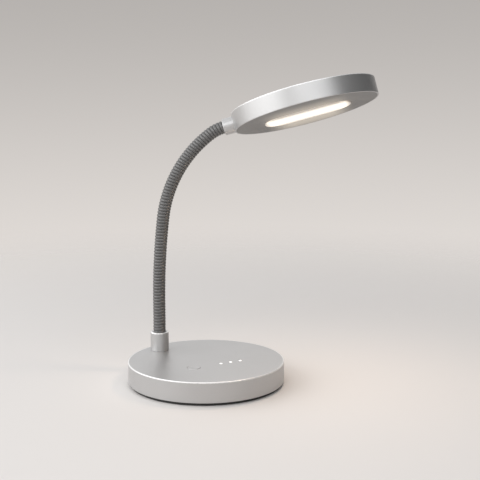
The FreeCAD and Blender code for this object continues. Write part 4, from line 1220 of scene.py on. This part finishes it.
@dataclass
class LampHead:
    """The disc head: tray, grey underside, raised light window and the collar that carries it."""

    layout: Layout
    book: FinishBook
    half: float = 8.5 * MM
    edge: float = 0.7 * MM
    low_edge: float = 0.3 * MM
    wall: float = 1.4 * MM
    lid: float = 1.2 * MM
    plate_thick: float = 1.5 * MM
    ledge: float = 2.0 * MM
    window_length: float = 83.0 * MM
    window_width: float = 50.0 * MM
    window_gap: float = 0.2 * MM
    lens_proud: float = 1.2 * MM
    lens_flange: float = 2.5 * MM
    flange_thick: float = 1.4 * MM
    collar_radius: float = 8.0 * MM

    def build(self) -> None:
        """Make every piece of the head."""
        self._tray()
        self._underside()
        self._lens()
        self._collar()

    def _tray(self) -> None:
        """The silver tray: lid and wall in one, with rounded rims and a ledge inside."""
        outer, half, edge, hold = self.layout.head_radius, self.half, self.edge, 0.3 * MM
        inner, ledge_low, low_edge = outer - self.wall, -half + self.plate_thick, self.low_edge
        section = [
            (outer - edge - hold, half),
            *rounded(outer - edge, half - edge, edge, 90.0, 5),
            (outer, half - edge - hold),
            (outer, -half + low_edge + hold),
            *rounded(outer - low_edge, -half + low_edge, low_edge, 0.0, 3),
            (inner + 0.1 * MM, -half),
            (inner, -half + 0.1 * MM),
            (inner, ledge_low),
            (inner - self.ledge, ledge_low),
            (inner - self.ledge, ledge_low + 1.0 * MM),
            (inner, ledge_low + 1.0 * MM),
            (inner, half - self.lid),
        ]
        tray = turned("head_tray", section, 160)
        hole = turned("stem_cutter", [(4.05 * MM, 0.0), (4.05 * MM, 6.0 * MM)], 32)
        cut_away(tray, place(hole, spot(-outer - 1.0 * MM, 0.0, 0.0, 90.0)))
        smooth(place(tray, self.layout.head_frame))
        dress(tray, self.book, "satin_silver", "head", "head_shell")

    def _underside(self) -> None:
        """The grey plate, with a softened edge and a round-ended opening for the window."""
        radius, low = self.layout.head_radius - self.wall - 0.15 * MM, -self.half
        edge = 0.2 * MM
        section = [
            (radius - edge - 0.2 * MM, low),
            *reversed(rounded(radius - edge, low + edge, edge, 0.0, 3)),
            (radius, low + self.plate_thick),
        ]
        plate = turned("underside_grey", section, 160)
        cut_away(plate, self._window("window_cutter", self.window_gap, low - 1.0 * MM, low + 3.0 * MM))
        shift = self.layout.window_shift

        def beside_window(edge_of: Any) -> bool:
            """Whether an edge is on the window's mouth."""
            return all(
                abs(v.co.z - low) < SAME and abs(v.co.y) < 26 * MM and abs(v.co.x - shift) < 43 * MM
                for v in edge_of.verts
            )

        bevel_edges(plate, beside_window, 0.15 * MM, 2)
        smooth(place(plate, self.layout.head_frame))
        dress(plate, self.book, "grey_plate", "head", "underside_plate")

    def _window(self, name: str, margin: float, low: float, high: float) -> Object:
        """A block with the window's outline.

        Args:
            name: The block's name.
            margin: How far it stands out all round.
            low: Height of the underside.
            high: Height of the top.

        Returns:
            The block, in the head's own frame.
        """
        length, width = self.window_length + 2 * margin, self.window_width + 2 * margin
        return round_ended(name, length, width, low, high, self.layout.window_shift)

    def _lens(self) -> None:
        """The opal window: a flange behind the plate and a raised front with a softly rounded edge."""
        back = -self.half + self.plate_thick
        front = -self.half - self.lens_proud
        lens = self._window("window_lens", self.lens_flange, back, back + self.flange_thick)
        with editing(lens):
            pick(lens, "FACE", lambda face: face.normal.z < -0.9)
            bpy.ops.mesh.inset(thickness=self.lens_flange)
            draw_up(front - back)
        bevel_edges(lens, lambda e: all(abs(v.co.z - front) < SAME for v in e.verts), 0.5 * MM, 4)
        smooth(place(lens, self.layout.head_frame), 40.0)
        dress(lens, self.book, "opal_lens", "head", "diffuser")

    def _collar(self) -> None:
        """The short collar, chamfered at the neck and hollowed to sit against the round wall."""
        start, wall = -self.layout.head_radius - self.layout.head_socket_length, -self.layout.head_radius
        radius, bore, seat = self.collar_radius, 6.25 * MM, 8.7 * MM
        length = self.layout.head_socket_length
        section = [
            (bore, 0.0),
            (radius - 0.6 * MM, 0.0),
            (radius - 0.2 * MM, 0.2 * MM),
            (radius, 0.6 * MM),
            (radius, 0.9 * MM),
            (radius, length + 1.0 * MM),
            (4.0 * MM, length + 1.0 * MM),
            (4.0 * MM, length + 9.5 * MM),
            (2.8 * MM, length + 9.5 * MM),
            (2.8 * MM, seat),
            (bore, seat),
            (bore, 0.0),
        ]
        collar = turned("head_collar", section, 72)
        place(collar, spot(start, 0.0, 0.0, 90.0))
        inner, outer = self.layout.head_radius - 4.0 * MM, self.layout.head_radius + 0.02 * MM
        deep = 9 * MM
        section = [(inner, -deep), (outer, -deep), (outer, deep), (inner, deep), (inner, -deep)]
        drum = turned("drum_cutter", section, 160)
        keep = turned("stem_keeper", [(4.03 * MM, 0.0), (4.03 * MM, 20.0 * MM)], 32)
        place(keep, spot(wall - 3.0 * MM, 0.0, 0.0, 90.0))
        tap = turned("tap_cutter", [(1.55 * MM, 0.0), (1.55 * MM, 12.0 * MM)], 24)
        place(tap, spot(start + seat / 2, 0.0, 0.0, -90.0, "X"))
        cut_away(drum, keep)
        cut_away(collar, drum, tap)
        smooth(place(collar, self.layout.head_frame))
        dress(collar, self.book, "satin_silver", "head", "head_socket")


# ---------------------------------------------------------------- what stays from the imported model

@dataclass
class PackedParts:
    """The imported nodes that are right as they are: each gets its slot's material."""

    book: FinishBook

    def dress(self) -> None:
        """Give every node the finish of its slot in the record."""
        slots = {row["node"]: row["material_slot"] for row in frame["record"]["subparts"]}
        for name, node in sorted(frame["nodes"].items()):
            paint(node, self.book, slots[name])
            log.info("%s keeps its packed shape in %s", name, slots[name])


# ---------------------------------------------------------------- the studio

class Side(Enum):
    """Where a panel of the studio stands, as azimuth and elevation in degrees seen from the lamp."""

    LEFT = (165.0, 21.0)
    FRONT = (256.0, 39.0)
    RIGHT = (330.0, 22.0)


@dataclass(frozen=True)
class Softbox:
    """A large soft light: its side, its distance from the lamp, its width and height and its watts."""

    side: Side
    distance: float
    size: Steps
    power: float


@dataclass
class Studio:
    """A pale floor that fades into an even background, two softboxes, a dark flag and the camera."""

    layout: Layout
    floor_radius: float = 4.0
    floor_rim: float = 2.5
    floor_fade: Steps = (0.3, 1.1)
    floor_colours: tuple[Colour, Colour] = ((0.655, 0.628, 0.608), (0.67, 0.643, 0.622))
    backdrop_heights: Steps = (-0.235, 0.135)
    backdrop_colours: tuple[Colour, Colour] = ((0.775, 0.733, 0.70), (0.45, 0.428, 0.41))
    sky_starts: Steps = (0.10, 0.32)
    sky_colour: Colour = (0.985, 0.99, 1.0)
    sky_from: Colour = (-0.866, 0.5, 0.0)
    sky_turn: Steps = (-0.85, 0.2)
    sky_level: Steps = (0.12, 1.05)
    softboxes: tuple[Softbox, ...] = (
        Softbox(Side.LEFT, 1.35, (2.1, 1.15), 12.5),
        Softbox(Side.FRONT, 1.4, (1.6, 0.75), 6.0),
    )
    softbox_colour: Colour = (0.97, 0.985, 1.0)
    flag_distance: float = 1.1
    flag_size: Steps = (2.2, 1.1)
    window_light_size: Steps = (0.078, 0.045)
    window_light_power: float = 0.21
    window_light_colour: Colour = (1.0, 0.78, 0.60)
    window_light_depth: float = 10.2 * MM
    camera_at: tuple[float, float, float] = (-0.4273, -0.8314, 0.2887)
    camera_turn: tuple[float, float, float] = (80.9, 0.0, -29.2)
    lens: float = 75.0
    middle: Vector = field(default_factory=lambda: Vector((0.03, 0.0, 0.12)))

    def build(self) -> None:
        """Set up floor, world, panels, lights and camera."""
        self._floor()
        self._world()
        for softbox in self.softboxes:
            self._softbox(softbox)
        self._flag()
        self._window_light()
        self._camera()

    def _floor(self) -> None:
        """A wide round floor whose rim fades away, so that no horizon shows."""
        clear_selection()
        bpy.ops.mesh.primitive_circle_add(vertices=128, radius=self.floor_radius, fill_type="NGON")
        floor = bpy.context.object
        floor.name = floor.data.name = "floor"
        with editing(floor):
            bpy.ops.mesh.inset(thickness=self.floor_rim)
        material, graph, shader = new_material("floor_paper")
        where = graph.object_place
        paper, fibre = (rgba(colour) for colour in self.floor_colours)
        colour = graph.mix(graph.noise(where, 3.0, detail=2.0), paper, fibre)
        shader.inputs["Roughness"].default_value = 0.8
        shader.inputs["Specular IOR Level"].default_value = 0.2
        length = graph.add("ShaderNodeVectorMath", {0: where}, operation="LENGTH").outputs["Value"]
        fade = graph.spread(length, *self.floor_fade, 1.0, 0.0)
        graph.feed(shader, {"Base Color": colour, "Alpha": fade})
        floor.data.materials.append(material)

    def _world(self) -> None:
        """Even light, and a pale background for eye, metal and glass that is brighter low down."""
        world = bpy.data.worlds.new("studio")
        bpy.context.scene.world = world
        world.use_nodes = True
        graph = Graph(world.node_tree)
        graph.tree.nodes.clear()
        direction = graph.add("ShaderNodeTexCoord").outputs["Generated"]
        height = graph.add("ShaderNodeSeparateXYZ", {0: direction}).outputs[2]
        low, high = (rgba(colour) for colour in self.backdrop_colours)
        backdrop = graph.mix(graph.spread(height, *self.backdrop_heights, 0.0, 1.0), low, high)
        inputs = {0: direction, 1: self.sky_from}
        lit_side = graph.add("ShaderNodeVectorMath", inputs, operation="DOT_PRODUCT").outputs["Value"]
        level = graph.spread(lit_side, *self.sky_turn, *self.sky_level)
        sky = graph.mix(level, (0.0, 0.0, 0.0, 1.0), rgba(self.sky_colour))
        sky.node.clamp_factor = False
        seen = graph.mix(graph.spread(height, *self.sky_starts, 0.0, 1.0), backdrop, sky)
        path = graph.add("ShaderNodeLightPath")
        shown = graph.add("ShaderNodeBackground", {"Color": seen, "Strength": 1.0})
        light = graph.add("ShaderNodeBackground", {"Color": sky, "Strength": 1.0})
        glossy = graph.math("MAXIMUM", path.outputs["Is Glossy Ray"], path.outputs["Is Transmission Ray"])
        direct = graph.math("MAXIMUM", path.outputs["Is Camera Ray"], glossy)
        both = graph.add("ShaderNodeMixShader", {0: direct, 1: light.outputs[0], 2: shown.outputs[0]})
        graph.add("ShaderNodeOutputWorld", {"Surface": both.outputs[0]})

    def _stand(self, side: Side, distance: float) -> Matrix:
        """Where a panel stands, facing the lamp with its Z.

        Args:
            side: Its direction from the lamp.
            distance: How far it is from the lamp.

        Returns:
            Its place.
        """
        azimuth, elevation = (math.radians(angle) for angle in side.value)
        level = math.cos(elevation)
        back = Vector((math.cos(azimuth) * level, math.sin(azimuth) * level, math.sin(elevation)))
        turn = back.to_track_quat("Z", "Y").to_matrix().to_4x4()
        return Matrix.Translation(self.middle + back * distance) @ turn

    @staticmethod
    def _area_light(name: str, shape: str, size: Steps, power: float, colour: Colour, at: Matrix) -> Object:
        """Add an area light that the camera doesn't see.

        Args:
            name: The light's name.
            shape: Its outline.
            size: Its width and height.
            power: Its watts.
            colour: Its colour.
            at: Where it is, shining against its Z.

        Returns:
            The light.
        """
        clear_selection()
        bpy.ops.object.light_add(type="AREA", location=(0.0, 0.0, 0.0))
        light = bpy.context.object
        light.name = name
        light.data.shape = shape
        light.data.size, light.data.size_y = size
        light.data.energy, light.data.color = power, colour
        light.matrix_world = at
        light.visible_camera = False
        return light

    def _softbox(self, box: Softbox) -> None:
        """Stand a large soft light."""
        name, at = f"softbox_{box.side.name.lower()}", self._stand(box.side, box.distance)
        self._area_light(name, "RECTANGLE", box.size, box.power, self.softbox_colour, at)

    def _flag(self) -> None:
        """Stand a dark panel to the right, out of the camera's sight, that shades the metal's far side."""
        clear_selection()
        bpy.ops.mesh.primitive_plane_add(size=1.0, location=(0.0, 0.0, 0.0))
        flag = bpy.context.object
        flag.name = flag.data.name = "flag"
        with editing(flag):
            bpy.ops.transform.resize(value=(*self.flag_size, 1.0))
            bpy.ops.mesh.subdivide(number_cuts=3)
        place(flag, self._stand(Side.RIGHT, self.flag_distance))
        material, graph, shader = new_material("flag_cloth")
        noise = graph.noise(graph.object_place, 60.0)
        colour = graph.mix(noise, (0.03, 0.03, 0.03, 1.0), (0.05, 0.05, 0.05, 1.0))
        graph.feed(shader, {"Base Color": colour})
        shader.inputs["Roughness"].default_value = 0.9
        flag.data.materials.append(material)
        flag.visible_camera = False

    def _window_light(self) -> None:
        """The light that the lamp's own window throws down, which moves with the head."""
        at = self.layout.window_frame @ Matrix.Translation((0.0, 0.0, -self.window_light_depth))
        size, power = self.window_light_size, self.window_light_power
        light = self._area_light("window_light", "ELLIPSE", size, power, self.window_light_colour, at)
        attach(light, "head")

    def _camera(self) -> None:
        """The camera, where the photograph was taken from."""
        clear_selection()
        turn = Euler([math.radians(angle) for angle in self.camera_turn])
        bpy.ops.object.camera_add(location=self.camera_at, rotation=turn)
        camera = bpy.context.object
        camera.name = "camera"
        camera.data.lens = self.lens
        camera.data.sensor_width = 36.0
        camera.data.clip_start, camera.data.clip_end = 0.01, 50.0
        bpy.context.scene.camera = camera
        bpy.context.scene.view_settings.view_transform = "Standard"


def main() -> None:
    """Build the lamp and its studio."""
    logging.basicConfig(level=logging.INFO, format="%(name)s: %(message)s")
    layout = Layout()
    book = FinishBook(Effects(), layout)
    PackedParts(book).dress()
    LampBase(layout, book).build()
    Gooseneck(layout, book).build()
    LampHead(layout, book).build()
    Studio(layout).build()
    clear_selection()


if __name__ == "__main__":
    main()
